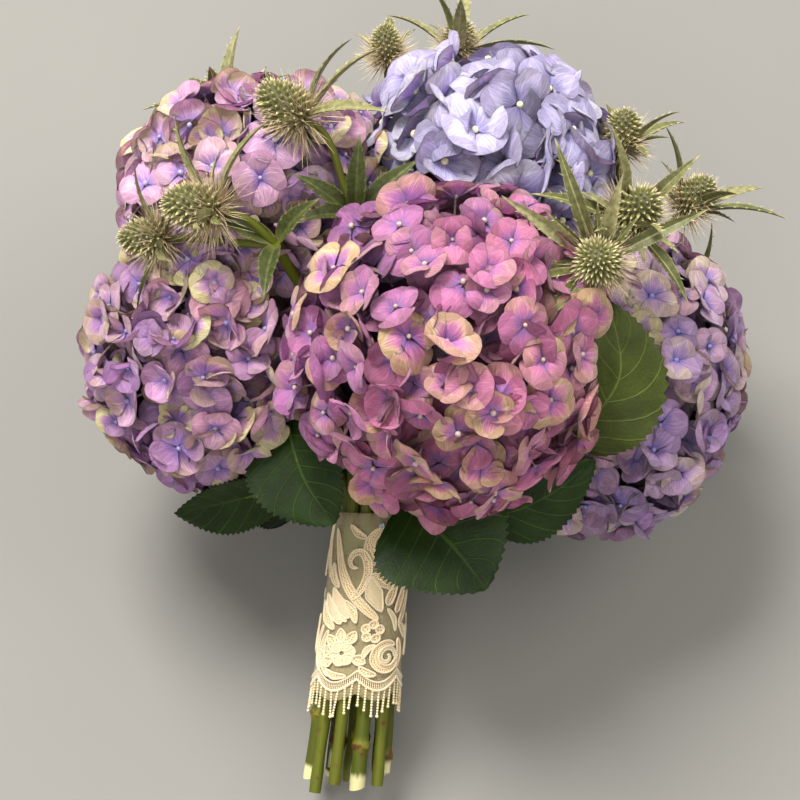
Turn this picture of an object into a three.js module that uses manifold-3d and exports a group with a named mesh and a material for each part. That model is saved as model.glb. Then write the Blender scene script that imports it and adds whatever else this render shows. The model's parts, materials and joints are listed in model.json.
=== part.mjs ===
// A bridal bouquet that lies on its back: seven hydrangea heads, six sprays of eryngium, seven hydrangea
// leaves, and the bundle of stems with its binding tape, lace sleeve and crystal-headed pins.
// Millimetres. The bouquet is laid out upright first, in its own frame: X to its right, Y up along the stems
// and Z to its front, from the point where the stems are bound. At the end it is laid on its back, +Z up.
import * as THREE from 'three';
import { mergeVertices } from 'three/addons/utils/BufferGeometryUtils.js';
import Module from 'manifold-3d';

const wasm = await Module();
wasm.setup();

// Clearances and limits
const CLEAR = 0.35; // between touching pieces
const SMALLEST_EDGE = 0.004; // shorter ones are closed up
const LYING_TILT = THREE.MathUtils.degToRad(26.4); // of the stems above the surface it lies on

// The handle
const FOOT = new THREE.Vector3(-15, -143, 0); // where the middle stems end
const OUTER_RING = 13; // centres of the outer stems at the binding
const INNER_RING = 4.9;
const SPRAY_RING = 13.8;
const SPLAY = 0.4; // how much wider the bundle is at the cut ends
const STEM_RADIUS = 4;
const SPRAY_STEM_RADIUS = 3.2;
const STEM_SIDES = 6;
const STEM_STEP = 26; // length of one straight piece of a stem
const CUT_INSET = 3; // from the end of the bar to the middle of the cut
const CUT_SLANT = 0.7; // how far a cut may lean, over both ways

// Hydrangea heads: centre, radii, and the florets that each would have all round
const HEADS = [
  { name: 'front', at: [35, 76, 60], radii: [76, 79, 73], florets: 34, color: 0xb868a8 },
  { name: 'left', at: [-79, 74, 5], radii: [64, 68, 62], florets: 27, color: 0x9a7cc0 },
  { name: 'upper_left', at: [-56, 153, 0], radii: [71, 60, 60], florets: 28, color: 0xb08ac0 },
  { name: 'top', at: [56, 164, -3], radii: [63, 63, 62], florets: 27, color: 0xa0a0e0 },
  { name: 'right', at: [118, 66, -5], radii: [65, 82, 62], florets: 31, color: 0x8a76bc },
  { name: 'back_left', at: [-28, 88, -82], radii: [57, 58, 57], florets: 24, color: 0xa884bc },
  { name: 'back_right', at: [66, 95, -86], radii: [57, 58, 57], florets: 24, color: 0x9484c4 },
];
const CORE_SHARE = 0.78; // radius of the head's dense middle, against the whole
const FLORET_SEAT = 0.96; // where a floret's throat lies
const ROOT_SEAT = 0.6; // where its stalk starts, inside the core
const FLORET_SPREAD = 0.94; // reach of its sepals, against an even share of the surface
const SEPALS = 4;
const SEPAL_SHOULDER = 0.44; // half angle of a sepal's blunt tip
const NOTCH = 0.58; // depth of the notch between two sepals, against the reach
const CUP = 0.16; // rise of the sepals' tips, against the reach
const STALK_WIDTH = 0.2; // below the sepals, against the reach
const STALK_DEPTH = 0.36;
const BARE_ANGLE = 0.62; // round the stem, where a head has no florets
const WALL_MARGIN = 2; // a floret nearer to a neighbouring head than this is left out
const SHALLOW = 0.05; // how much the florets' height varies, against the head's radius
const FLORET_LEAN = 0.5;
const HEAD_SPAN = 400; // more than any head and its neighbours measure

// Eryngium
const CONE_RADIUS = 11;
const CONE_HEIGHT = 27;
const CONE_COLUMNS = 8;
const CONE_ROWS = 6;
const SPIKE_LENGTH = 3.2;
const BRACT_WIDTH = 5.6;
const BRACT_THICKNESS = 1.1;
const BRACT_INSET = 0.45; // of the cone's radius
const WHORL_WIDTH = 8;
const WHORL_LIFT = 0.75;
const WHORL_INSET = 1.5;
const STAGGER = 1.5; // between neighbouring blades of a ring, along its axis
const RAISE_BY = 0.2; // slope by which a blade is raised to clear a bloom, and how often
const RAISE_STEPS = 24;
const BRANCH_RADIUS = 2.1;
const FORK_DEPTH = 3; // how far a branch starts inside the main stem
const BRANCH_STRAIGHT = 10; // of a branch's way, below its cone
const CONE_SEAT = 4; // how far a branch reaches into its cone
const SPRAY_SIDES = 5;

// Leaves
const BLADE_THICKNESS = 0.8;
const TEETH = 4;
const TOOTH_DEPTH = 0.14;
const LEAF_FOLD = 0.2; // rise of the leaf's edges, against its half width
const PETIOLE_RADIUS = 1.6;
const PETIOLE_SIDES = 5;
const PETIOLE_STRAIGHT = 5; // square to the stem
const LEAF_ROOM = 0.8; // that a bloom leaves on both sides of a leaf

// Lace sleeve, tape and pins
const SLEEVE_TOP = -3;
const SLEEVE_FOOT = -87;
const SLEEVE_THICKNESS = 0.8;
const SLEEVE_STANDOFF = 1.4; // from the stems to the sleeve
const HEM_RIDGE = 1.1; // the corded border along the hem
const HEM_HEIGHT = 6;
const SCALLOPS = 6;
const SCALLOP_DEPTH = 6;
const SLEEVE_SEGMENTS = 30;
const STRANDS = 36;
const STRAND_LENGTH = 12;
const STRAND_RADIUS = 0.8;
const STRAND_SIDES = 3;
const STRAND_SEAT = 1.5; // how far a strand reaches up into the hem
const TAPE_TOP = -10;
const TAPE_FOOT = -24;
const TAPE_THICKNESS = 0.65;
const TAPE_SEGMENTS = 20;
const PIN_RADIUS = 1.6;

// Numbers that look drawn by chance but come out the same each time
function seeded(seed) {
  let state = seed;
  return () => {
    state = (state + 0x6d2b79f5) | 0;
    let mixed = Math.imul(state ^ (state >>> 15), 1 | state);
    mixed = (mixed + Math.imul(mixed ^ (mixed >>> 7), 61 | mixed)) ^ mixed;
    return ((mixed ^ (mixed >>> 14)) >>> 0) / 4294967296;
  };
}

function vector(list) {
  return new THREE.Vector3(...list);
}

// A closed geometry as a solid that can be joined and cut
function solidOf(geometry) {
  const plain = geometry.getIndex() ? geometry.toNonIndexed() : geometry;
  const bare = new THREE.BufferGeometry().setAttribute('position', plain.getAttribute('position'));
  const merged = mergeVertices(bare, 1e-4);
  return new wasm.Manifold(new wasm.Mesh({
    numProp: 3,
    vertProperties: merged.attributes.position.array,
    triVerts: new Uint32Array(merged.index.array),
  }));
}

function geometryOf(solid) {
  const mesh = solid.getMesh();
  const geometry = new THREE.BufferGeometry();
  geometry.setAttribute('position', new THREE.BufferAttribute(mesh.vertProperties, 3));
  geometry.setIndex(new THREE.BufferAttribute(mesh.triVerts, 1));
  return geometry.toNonIndexed();
}

function join(solids) {
  return wasm.Manifold.union(solids);
}

// The one body that a join or a cut leaves: loose scraps and sealed hollows are dropped
function mainBody(solid) {
  const bodies = solid.simplify(SMALLEST_EDGE).decompose();
  return bodies.reduce((most, body) => (body.volume() > most.volume() ? body : most));
}

// A closed skin from a point, over rings of points, to a point. The rings run clockwise as seen from the
// first point. From side `turned` on, the faces are split along the other diagonal.
function skin(first, rings, last, turned = Infinity) {
  const count = rings[0].length;
  const points = [first, ...rings.flat(), last];
  const end = points.length - 1;
  const faces = [];
  for (let i = 0; i < count; i++) {
    const next = (i + 1) % count;
    faces.push(0, 1 + i, 1 + next);
    for (let row = 0; row < rings.length - 1; row++) {
      const a = 1 + row * count + i;
      const b = 1 + row * count + next;
      const c = a + count;
      const d = b + count;
      faces.push(...(i < turned ? [a, c, d, a, d, b] : [a, c, b, b, c, d]));
    }
    faces.push(end, end - count + next, end - count + i);
  }
  const geometry = new THREE.BufferGeometry().setFromPoints(points);
  geometry.setIndex(faces);
  return geometry;
}

function stepsAlong(curve) {
  return Math.max(1, Math.round(curve.getLength() / STEM_STEP));
}

// A round bar along a curve
function bar(curve, radius, sides = STEM_SIDES) {
  const corners = [];
  for (let i = 0; i < sides; i++) {
    const angle = (i / sides) * 2 * Math.PI;
    corners.push(new THREE.Vector2(radius * Math.cos(angle), radius * Math.sin(angle)));
  }
  return new THREE.ExtrudeGeometry(new THREE.Shape(corners), {
    steps: stepsAlong(curve),
    bevelEnabled: false,
    extrudePath: curve,
  });
}

function curveThrough(points) {
  return new THREE.CatmullRomCurve3(points, false, 'centripetal');
}

// Where a stem runs in the bundle, at a height below or above the binding
function slotPoint(slot, height) {
  const down = height / FOOT.y;
  const widening = 1 + SPLAY * Math.max(down, 0);
  return new THREE.Vector3(
    FOOT.x * down + slot.ring * widening * Math.cos(slot.angle),
    height,
    slot.ring * widening * Math.sin(slot.angle),
  );
}

function stemCurve(stem) {
  const slot = { ring: stem.ring, angle: THREE.MathUtils.degToRad(stem.angle) };
  const low = [FOOT.y + stem.cut, FOOT.y * 0.66, FOOT.y * 0.33, 0].map((y) => slotPoint(slot, y));
  return curveThrough([...low, ...stem.way.map(vector)]);
}

// Stems of the hydrangea heads: slot in the bundle, how much shorter it is cut, and its way to the head
const STEMS = {
  front: { ring: OUTER_RING, angle: 71, cut: 2, way: [[8, 22, 19], [20, 48, 40], [30, 64, 52]] },
  left: { ring: OUTER_RING, angle: 174, cut: 6, way: [[-20, 20, 3], [-44, 47, 4], [-66, 66, 5]] },
  upper_left: { ring: INNER_RING, angle: 158, cut: 8, way: [[-8, 40, 3], [-20, 90, 0], [-44, 138, 0]] },
  top: { ring: INNER_RING, angle: 38, cut: 1, way: [[8, 40, 4], [24, 96, 0], [46, 148, -3]] },
  right: { ring: OUTER_RING, angle: 0, cut: 5, way: [[25, 16, 1], [64, 38, -2], [102, 58, -4]] },
  back_left: { ring: OUTER_RING, angle: 245, cut: 3, way: [[-11, 22, -17], [-19, 52, -44], [-25, 76, -68]] },
  back_right: { ring: OUTER_RING, angle: 285, cut: 0, way: [[11, 22, -20], [33, 54, -48], [56, 82, -74]] },
};

for (const stem of Object.values(STEMS)) {
  stem.curve = stemCurve(stem);
}

// A box with the middle of one face at a point, which reaches from there along a direction
function cutter(at, facing, size = 60) {
  const geometry = new THREE.BoxGeometry(size, size, size);
  geometry.translate(0, 0, size / 2);
  const turn = new THREE.Quaternion().setFromUnitVectors(new THREE.Vector3(0, 0, 1), facing);
  return solidOf(geometry.applyQuaternion(turn).translate(at.x, at.y, at.z));
}

// The slanting cut across a stem's lower end
function cutAcross(solid, curve, random) {
  const facing = curve.getTangent(0).negate();
  facing.x += CUT_SLANT * (random() - 0.5);
  facing.z += CUT_SLANT * (random() - 0.5);
  const at = curve.getPointAt(0).addScaledVector(curve.getTangent(0), CUT_INSET);
  return solid.subtract(cutter(at, facing.normalize()));
}

// With an extra radius, this is the room that the stem's neighbours leave for it. The stem itself ends a
// little short of that room, so that it stands clear in its socket.
function hydrangeaStem(stem, extra) {
  const bark = solidOf(bar(stem.curve, STEM_RADIUS + extra));
  if (extra) {
    return bark;
  }
  const facing = stem.curve.getTangent(1);
  const end = stem.curve.getPoint(1).addScaledVector(facing, -CLEAR);
  return cutAcross(bark, stem.curve, seeded(stem.angle)).subtract(cutter(end, facing));
}

// How far a head reaches from its centre along a direction
function reach(radii, direction) {
  return 1 / Math.hypot(direction.x / radii[0], direction.y / radii[1], direction.z / radii[2]);
}

// Where a head meets each of the others: a plane across the line between their centres
function wallsOf(head) {
  return HEADS.filter((other) => other !== head).map((other) => {
    const normal = vector(other.at).sub(vector(head.at));
    const distance = normal.length();
    normal.normalize();
    const own = reach(head.radii, normal);
    const theirs = reach(other.radii, normal);
    const share = (distance + own - theirs) / 2;
    return { normal, offset: normal.dot(vector(head.at)) + share - CLEAR };
  });
}

// One floret: four broad sepals in a shallow cup, which narrow below to a slim stalk
function floret(root, throat, facing, size, turn) {
  const across = new THREE.Vector3(0, 1, 0).cross(facing).normalize();
  const along = facing.clone().cross(across);
  const place = (angle, share, rise) => throat.clone()
    .addScaledVector(across, size * share * Math.cos(angle))
    .addScaledVector(along, size * share * Math.sin(angle))
    .addScaledVector(facing, size * rise);
  const points = [throat, root];
  const faces = [];
  for (let i = 0; i < SEPALS; i++) {
    const middle = turn + (i / SEPALS) * 2 * Math.PI;
    const next = middle + Math.PI / SEPALS;
    points.push(
      place(middle - SEPAL_SHOULDER, 1, CUP),
      place(middle + SEPAL_SHOULDER, 1, CUP * 1.3),
      place(next, NOTCH, 0),
      place(next, STALK_WIDTH, -STALK_DEPTH),
    );
    const [left, right, notch, stalk] = [2, 3, 4, 5].map((corner) => 4 * i + corner);
    const before = 4 * ((i + SEPALS - 1) % SEPALS);
    const [lastNotch, lastStalk] = [before + 4, before + 5];
    faces.push(
      0, lastNotch, left, 0, left, right, 0, right, notch,
      lastStalk, left, lastNotch, lastStalk, right, left, lastStalk, stalk, right, stalk, notch, right,
      1, stalk, lastStalk,
    );
  }
  const geometry = new THREE.BufferGeometry().setFromPoints(points);
  geometry.setIndex(faces);
  return geometry.toNonIndexed();
}

function bloom(head, floor) {
  const random = seeded(head.florets + 7 * Math.round(head.at[0]));
  const centre = vector(head.at);
  const radii = vector(head.radii);
  const walls = wallsOf(head);
  const toStem = STEMS[head.name].curve.getTangent(1).negate();
  const core = new THREE.IcosahedronGeometry(CORE_SHARE, 1);
  core.scale(radii.x, radii.y, radii.z).translate(centre.x, centre.y, centre.z);
  const solids = [solidOf(core)];
  const goldenAngle = Math.PI * (3 - Math.sqrt(5));
  const meanRadius = (radii.x + radii.y + radii.z) / 3;
  const size = FLORET_SPREAD * 2 * meanRadius / Math.sqrt(head.florets);
  for (let i = 0; i < head.florets; i++) {
    const height = 1 - (2 * i + 1) / head.florets;
    const girth = Math.sqrt(1 - height * height);
    const angle = goldenAngle * i + head.at[0];
    const outward = new THREE.Vector3(girth * Math.cos(angle), height, girth * Math.sin(angle));
    const turn = random() * Math.PI;
    const lift = FLORET_SEAT + SHALLOW * (random() - 0.5);
    const grown = size * (0.92 + 0.16 * random());
    const lean = new THREE.Vector3(random() - 0.5, random() - 0.5, random() - 0.5);
    const throat = outward.clone().multiply(radii).multiplyScalar(lift).add(centre);
    const hidden = walls.some((wall) => wall.normal.dot(throat) > wall.offset - WALL_MARGIN);
    if (hidden || outward.angleTo(toStem) < BARE_ANGLE) {
      continue;
    }
    const root = outward.clone().multiply(radii).multiplyScalar(ROOT_SEAT).add(centre);
    const facing = outward.clone().divide(radii).normalize().addScaledVector(lean, FLORET_LEAN).normalize();
    solids.push(solidOf(floret(root, throat, facing, grown, turn)));
  }
  const beyond = [...walls, { normal: floor.normal.clone().negate(), offset: -floor.offset }].map((wall) => {
    const at = centre.clone().addScaledVector(wall.normal, wall.offset - wall.normal.dot(centre));
    return cutter(at, wall.normal, HEAD_SPAN);
  });
  return clearOf(join(solids), beyond);
}

// A narrow blade that arches from its pointed base to its spine, with a keel below
function spinyBlade(base, along, outward, length, width) {
  const side = along.clone().cross(outward).normalize();
  const place = (share, sag) => base.clone()
    .addScaledVector(along, length * share)
    .addScaledVector(outward, -length * sag);
  const rings = [[0.3, 1, 0.01], [0.72, 0.5, 0.13]].map(([share, wide, sag]) => {
    const middle = place(share, sag);
    return [
      middle.clone().addScaledVector(side, -width * wide / 2),
      middle.clone().addScaledVector(outward, -BRACT_THICKNESS),
      middle.clone().addScaledVector(side, width * wide / 2),
    ];
  });
  return solidOf(skin(base, rings, place(1, 0.27)));
}

// A ring of spiny blades about an axis. Each is raised until it is clear of what it must not touch.
function bladeRing(ring, obstacles, random) {
  const axis = vector(ring.axis).normalize();
  const across = new THREE.Vector3(1, 0, 0).cross(axis).normalize();
  const upward = axis.clone().cross(across);
  const solids = [];
  for (let i = 0; i < ring.count; i++) {
    const angle = (i + 0.3 * (random() - 0.5)) / ring.count * 2 * Math.PI;
    const length = ring.length * (0.85 + 0.3 * random());
    const lift = ring.lift + 0.25 * (random() - 0.5);
    const spoke = across.clone().multiplyScalar(Math.cos(angle)).addScaledVector(upward, Math.sin(angle));
    const foot = ring.at.clone().addScaledVector(spoke, ring.inset).addScaledVector(axis, (i % 2) * STAGGER);
    for (let raised = 0; raised < RAISE_STEPS; raised++) {
      const slope = lift + raised * RAISE_BY;
      const along = spoke.clone().addScaledVector(axis, slope).normalize();
      const outward = axis.clone().addScaledVector(spoke, -slope).normalize();
      const blade = spinyBlade(foot, along, outward, length, ring.width);
      if (obstacles.every((obstacle) => blade.minGap(obstacle, 2 * CLEAR) > CLEAR)) {
        solids.push(blade);
        break;
      }
    }
  }
  return solids;
}

// The egg-shaped cone of an eryngium head. Every other knot of its net is drawn out to a spike.
function eryngiumCone(head, extra) {
  const radius = CONE_RADIUS * head.scale;
  const height = CONE_HEIGHT * head.scale;
  const cone = new THREE.SphereGeometry(1, CONE_COLUMNS, CONE_ROWS);
  const knot = cone.getAttribute('position');
  for (let i = 0; i < knot.count; i++) {
    const row = Math.floor(i / (CONE_COLUMNS + 1));
    const column = i % (CONE_COLUMNS + 1) % CONE_COLUMNS;
    const drawn = row > 0 && row < CONE_ROWS && (row + column) % 2 === 0;
    const spike = drawn || extra ? SPIKE_LENGTH * head.scale + extra : 0;
    knot.setXYZ(
      i,
      knot.getX(i) * (radius + spike),
      knot.getY(i) * (height / 2 + spike) + height / 2,
      knot.getZ(i) * (radius + spike),
    );
  }
  const upright = new THREE.Vector3(0, 1, 0);
  const turn = new THREE.Quaternion().setFromUnitVectors(upright, vector(head.axis).normalize());
  return solidOf(cone.applyQuaternion(turn).translate(...head.at));
}

// Eryngium sprays: slot, way of the main stem, whorl at its end, and the heads that branch from there
const SPRAYS = {
  front_left: {
    ring: SPRAY_RING, angle: 107, cut: 7, way: [[-5, 30, 16], [-9, 84, 18], [-10, 122, 38], [-9, 139, 50]],
    whorl: { count: 6, length: 36, axis: [0, 0.45, 1] },
    heads: [{ at: [-31, 183, 60], axis: [-0.8, 0.55, 0.25], lift: -0.15, long: 44, scale: 1, bracts: 8 }],
  },
  left: {
    ring: SPRAY_RING, angle: 140, cut: 2, way: [[-12, 28, 11], [-19, 84, 20], [-38, 112, 44], [-46, 127, 56]],
    whorl: { count: 6, length: 36, axis: [-0.2, 0.3, 1] },
    heads: [
      { at: [-71, 140, 68], axis: [-0.92, 0.15, 0.3], lift: -0.1, long: 42, scale: 1, bracts: 8 },
      { at: [-97, 129, 52], axis: [-0.95, 0.0, 0.12], lift: -0.1, long: 34, scale: 0.85, bracts: 6 },
    ],
  },
  upper_left: {
    ring: SPRAY_RING, angle: 210, cut: 9,
    way: [[-18, 26, -12], [-24, 75, -20], [-48, 110, -32], [-74, 172, -58]],
    heads: [{ at: [-79, 200, -34], axis: [-0.15, 0.85, 0.45], lift: 0.5, long: 40, scale: 0.8, bracts: 7 }],
  },
  top: {
    ring: INNER_RING, angle: 278, cut: 4, way: [[4, 40, -10], [7, 108, -30], [4, 160, -46], [14, 192, -42]],
    heads: [
      { at: [6, 225, -30], axis: [-0.05, 0.9, 0.3], lift: 0.6, long: 44, scale: 0.75, bracts: 6 },
      { at: [42, 229, -32], axis: [0.1, 0.92, 0.3], lift: 0.6, long: 42, scale: 0.75, bracts: 6 },
    ],
  },
  right: {
    ring: SPRAY_RING, angle: 35, cut: 5, way: [[18, 30, 6], [52, 78, -8], [90, 112, 26], [100, 120, 52]],
    heads: [
      { at: [103, 115, 84], axis: [-0.1, 0.0, 1], lift: 0.3, long: 50, scale: 1, bracts: 9 },
      { at: [118, 134, 66], axis: [0.3, 0.42, 0.85], lift: 0.25, long: 44, scale: 1, bracts: 8 },
    ],
  },
  far_right: {
    ring: SPRAY_RING, angle: 322, cut: 8,
    way: [[26, 24, -18], [62, 70, -34], [88, 100, -38], [118, 134, -44]],
    heads: [
      { at: [122, 175, 4], axis: [0.1, 0.85, 0.45], lift: 0.5, long: 40, scale: 0.85, bracts: 6 },
      { at: [152, 146, 5], axis: [0.55, 0.6, 0.5], lift: 0.3, long: 42, scale: 0.85, bracts: 6 },
      { at: [158, 106, -56], axis: [0.95, 0.1, 0.1], lift: 0.5, long: 46, scale: 0.8, bracts: 7 },
    ],
  },
};

for (const spray of Object.values(SPRAYS)) {
  spray.curve = stemCurve(spray);
}

// The stem of a spray with its branches and cones
function sprayBody(spray, extra) {
  const bark = solidOf(bar(spray.curve, SPRAY_STEM_RADIUS + extra, SPRAY_SIDES));
  const solids = [extra ? bark : cutAcross(bark, spray.curve, seeded(spray.angle))];
  const fork = spray.curve.getPointAt(1);
  const onward = spray.curve.getTangent(1);
  for (const head of spray.heads) {
    const axis = vector(head.axis).normalize();
    const start = fork.clone().addScaledVector(onward, -FORK_DEPTH);
    const bend = vector(head.at).addScaledVector(axis, -BRANCH_STRAIGHT);
    const end = vector(head.at).addScaledVector(axis, CONE_SEAT);
    solids.push(solidOf(bar(curveThrough([start, bend, end]), BRANCH_RADIUS + extra, SPRAY_SIDES)));
    solids.push(eryngiumCone(head, extra));
  }
  return join(solids);
}

// The blades of a spray: a ring of bracts under each cone, and a whorl of leaves where the stem forks
function sprayBlades(spray, obstacles) {
  const random = seeded(40 + spray.angle);
  const rings = spray.heads.map((head) => ({
    at: vector(head.at).addScaledVector(vector(head.axis).normalize(), 1),
    axis: head.axis,
    count: head.bracts,
    length: head.long,
    lift: head.lift,
    inset: CONE_RADIUS * head.scale * BRACT_INSET,
    width: BRACT_WIDTH,
  }));
  if (spray.whorl) {
    const at = spray.curve.getPointAt(1);
    rings.push({ ...spray.whorl, at, lift: WHORL_LIFT, inset: WHORL_INSET, width: WHORL_WIDTH });
  }
  return rings.flatMap((ring) => bladeRing(ring, obstacles, random));
}

// Leaves: the stem that each grows from and how high on it, the width, the side that it faces and the midrib
const LEAVES = [
  { name: 'left_front', stem: 'left', seat: 32, width: 54, facing: [-0.3, -0.3, 1],
    rib: [[-41, 42, 33], [-39, 30, 42], [-32, 12, 46], [-19, -7, 44]] },
  { name: 'low_front', stem: 'front', seat: 14, width: 72, facing: [0, 0.15, 1],
    rib: [[14, 4, 32], [24, -4, 42], [37, -16, 50], [53, -37, 56]] },
  { name: 'right_front', stem: 'right', seat: 36, width: 52, facing: [0.35, -0.1, 1],
    rib: [[88, 34, 38], [101, 42, 55], [115, 64, 67], [110, 98, 69]] },
  { name: 'low_right', stem: 'right', seat: 16, width: 42, facing: [0.2, -0.6, 0.8],
    rib: [[46, -4, 22], [64, -2, 34], [84, 7, 42], [105, 24, 47]] },
  { name: 'low_left', stem: 'left', seat: 20, width: 44, facing: [0, -0.75, 0.65],
    rib: [[-42, 12, 10], [-58, 6, 13], [-78, 1, 16], [-98, -3, 20]] },
  { name: 'back_left', stem: 'back_left', seat: 20, width: 52, facing: [-0.3, -0.8, -0.5],
    rib: [[-22, 2, -34], [-35, -2, -48], [-52, 0, -60], [-74, 10, -68]] },
  { name: 'back_right', stem: 'back_right', seat: 20, width: 52, facing: [0.3, -0.8, -0.5],
    rib: [[36, 2, -34], [55, 0, -46], [75, 4, -56], [99, 16, -60]] },
];

// Half the width of a leaf along its midrib, as a share of the whole half width
function leafOutline(share) {
  return Math.pow(Math.sin(Math.PI * Math.pow(share, 0.8)), 0.75);
}

// Where the straight pieces of a bar along a rising curve first reach a height, and the way that they run
function seatAtHeight(curve, height) {
  const joints = curve.getSpacedPoints(stepsAlong(curve));
  const above = joints.findIndex((joint) => joint.y > height);
  const low = joints[above - 1];
  const high = joints[above];
  const at = low.clone().lerp(high, (height - low.y) / (high.y - low.y));
  return { at, tangent: high.clone().sub(low).normalize() };
}

// A broad toothed blade, folded a little along its midrib, on a stalk that starts on the hydrangea's stem
function hydrangeaLeaf(leaf, extra) {
  const rib = curveThrough(leaf.rib.map(vector));
  const facing = vector(leaf.facing).normalize();
  const half = BLADE_THICKNESS / 2 + (extra ? LEAF_ROOM : 0);
  const rings = [];
  const stations = 2 * TEETH;
  for (let i = 1; i <= stations; i++) {
    const share = i / (stations + 1);
    const middle = rib.getPointAt(share);
    const along = rib.getTangentAt(share);
    const side = facing.clone().cross(along).normalize();
    const up = along.clone().cross(side);
    const tooth = i % 2 || extra ? 1 : 1 - TOOTH_DEPTH;
    const wide = leaf.width / 2 * leafOutline(share) * tooth + extra;
    const rise = wide * LEAF_FOLD;
    const edge = (sign, level) => middle.clone()
      .addScaledVector(side, sign * wide)
      .addScaledVector(up, rise + level);
    const mid = (level) => middle.clone().addScaledVector(up, level);
    rings.push([edge(-1, half), mid(half), edge(1, half), edge(1, -half), mid(-half), edge(-1, -half)]);
  }
  const blade = solidOf(skin(rib.getPointAt(0), rings, rib.getPointAt(1), 3));
  const { curve } = STEMS[leaf.stem];
  const { at, tangent } = seatAtHeight(curve, leaf.seat);
  const away = rib.getPointAt(0).sub(at);
  away.addScaledVector(tangent, -away.dot(tangent)).normalize();
  const start = at.clone().addScaledVector(away, STEM_RADIUS + CLEAR);
  const stalk = curveThrough([
    start,
    start.clone().addScaledVector(away, PETIOLE_STRAIGHT),
    rib.getPointAt(0.02),
    rib.getPointAt(0.12),
    rib.getPointAt(0.24),
  ]);
  return join([blade, solidOf(bar(stalk, PETIOLE_RADIUS + extra, PETIOLE_SIDES))]);
}

// The outside of the bundle of stems at a height
function bundleRadius(height) {
  return OUTER_RING * (1 + SPLAY * height / FOOT.y) + STEM_RADIUS;
}

// What is made about an upright axis, set leaning as the bundle does
function leaned(geometry) {
  const lean = new THREE.Matrix4().makeShear(0, 0, FOOT.x / FOOT.y, 0, 0, 0);
  return geometry.applyMatrix4(lean);
}

function bindingTape() {
  const inner = (height) => bundleRadius(height) + CLEAR;
  const profile = [
    [inner(TAPE_FOOT), TAPE_FOOT],
    [inner(TAPE_FOOT) + TAPE_THICKNESS, TAPE_FOOT],
    [inner(TAPE_TOP) + TAPE_THICKNESS, TAPE_TOP],
    [inner(TAPE_TOP), TAPE_TOP],
    [inner(TAPE_FOOT), TAPE_FOOT],
  ];
  const points = profile.map(([x, y]) => new THREE.Vector2(x, y));
  return solidOf(leaned(new THREE.LatheGeometry(points, TAPE_SEGMENTS)));
}

// The lace: a sleeve with a scalloped hem, a raised cord along it and a fringe of bead strands
function laceSleeve() {
  const inner = (height) => bundleRadius(height) + SLEEVE_STANDOFF;
  const outer = (height) => inner(height) + SLEEVE_THICKNESS;
  const hem = SLEEVE_FOOT + HEM_HEIGHT;
  const profile = [
    [inner(SLEEVE_FOOT), SLEEVE_FOOT],
    [outer(SLEEVE_FOOT) + HEM_RIDGE, SLEEVE_FOOT],
    [outer(hem) + HEM_RIDGE, SLEEVE_FOOT + HEM_HEIGHT / 2],
    [outer(hem), hem],
    [outer(SLEEVE_TOP), SLEEVE_TOP],
    [inner(SLEEVE_TOP), SLEEVE_TOP],
    [inner(SLEEVE_FOOT), SLEEVE_FOOT],
  ].map(([x, y]) => new THREE.Vector2(x, y));
  const wall = new THREE.LatheGeometry(profile, SLEEVE_SEGMENTS);
  const position = wall.getAttribute('position');
  const droop = (x, z) => SCALLOP_DEPTH * (0.5 - Math.abs(Math.sin(Math.atan2(x, z) * SCALLOPS / 2)));
  for (let i = 0; i < position.count; i++) {
    if (position.getY(i) < hem + 1) {
      position.setY(i, position.getY(i) + droop(position.getX(i), position.getZ(i)));
    }
  }
  const solids = [solidOf(leaned(wall))];
  for (let i = 0; i < STRANDS; i++) {
    const angle = (i + 0.5) / STRANDS * 2 * Math.PI;
    const x = outer(SLEEVE_FOOT) * Math.sin(angle);
    const z = outer(SLEEVE_FOOT) * Math.cos(angle);
    const strand = new THREE.CylinderGeometry(STRAND_RADIUS, STRAND_RADIUS, STRAND_LENGTH, STRAND_SIDES);
    strand.rotateY(angle);
    strand.translate(x, SLEEVE_FOOT + droop(x, z) + STRAND_SEAT - STRAND_LENGTH / 2, z);
    solids.push(solidOf(leaned(strand)));
  }
  return join(solids);
}

// Crystal heads of the pins: bearing round the sleeve and height
const PINS = [[12, -9], [46, -11], [66, -20]];

function crystalPin([bearing, height]) {
  const distance = bundleRadius(height) + SLEEVE_STANDOFF + SLEEVE_THICKNESS + CLEAR + PIN_RADIUS;
  const angle = THREE.MathUtils.degToRad(bearing);
  const bead = new THREE.OctahedronGeometry(PIN_RADIUS).rotateY(angle);
  bead.translate(distance * Math.sin(angle), height, distance * Math.cos(angle));
  return solidOf(leaned(bead));
}

// Takes the neighbours' clearance out of a solid where they meet
function clearOf(solid, neighbours) {
  return neighbours.reduce(
    (rest, other) => (rest.intersect(other).isEmpty() ? rest : rest.subtract(other)),
    solid,
  );
}

const bouquet = new THREE.Group();

function addPiece(name, solid, color, roughness) {
  const material = new THREE.MeshStandardMaterial({ color, roughness, metalness: 0 });
  const mesh = new THREE.Mesh(geometryOf(mainBody(solid)), material);
  mesh.name = name;
  bouquet.add(mesh);
}

const up = new THREE.Vector3(0, Math.sin(LYING_TILT), Math.cos(LYING_TILT));
const floor = { normal: up, offset: Infinity };
const rooms = [];

for (const [name, stem] of Object.entries(STEMS)) {
  const solid = hydrangeaStem(stem, 0);
  const position = geometryOf(solid).getAttribute('position');
  for (let i = 0; i < position.count; i++) {
    floor.offset = Math.min(floor.offset, up.dot(new THREE.Vector3().fromBufferAttribute(position, i)));
  }
  rooms.push(hydrangeaStem(stem, CLEAR));
  addPiece(`stem_${name}`, solid, 0x7d9a45, 0.6);
}

for (const spray of Object.values(SPRAYS)) {
  spray.body = sprayBody(spray, 0);
  rooms.push(sprayBody(spray, CLEAR));
}

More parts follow.
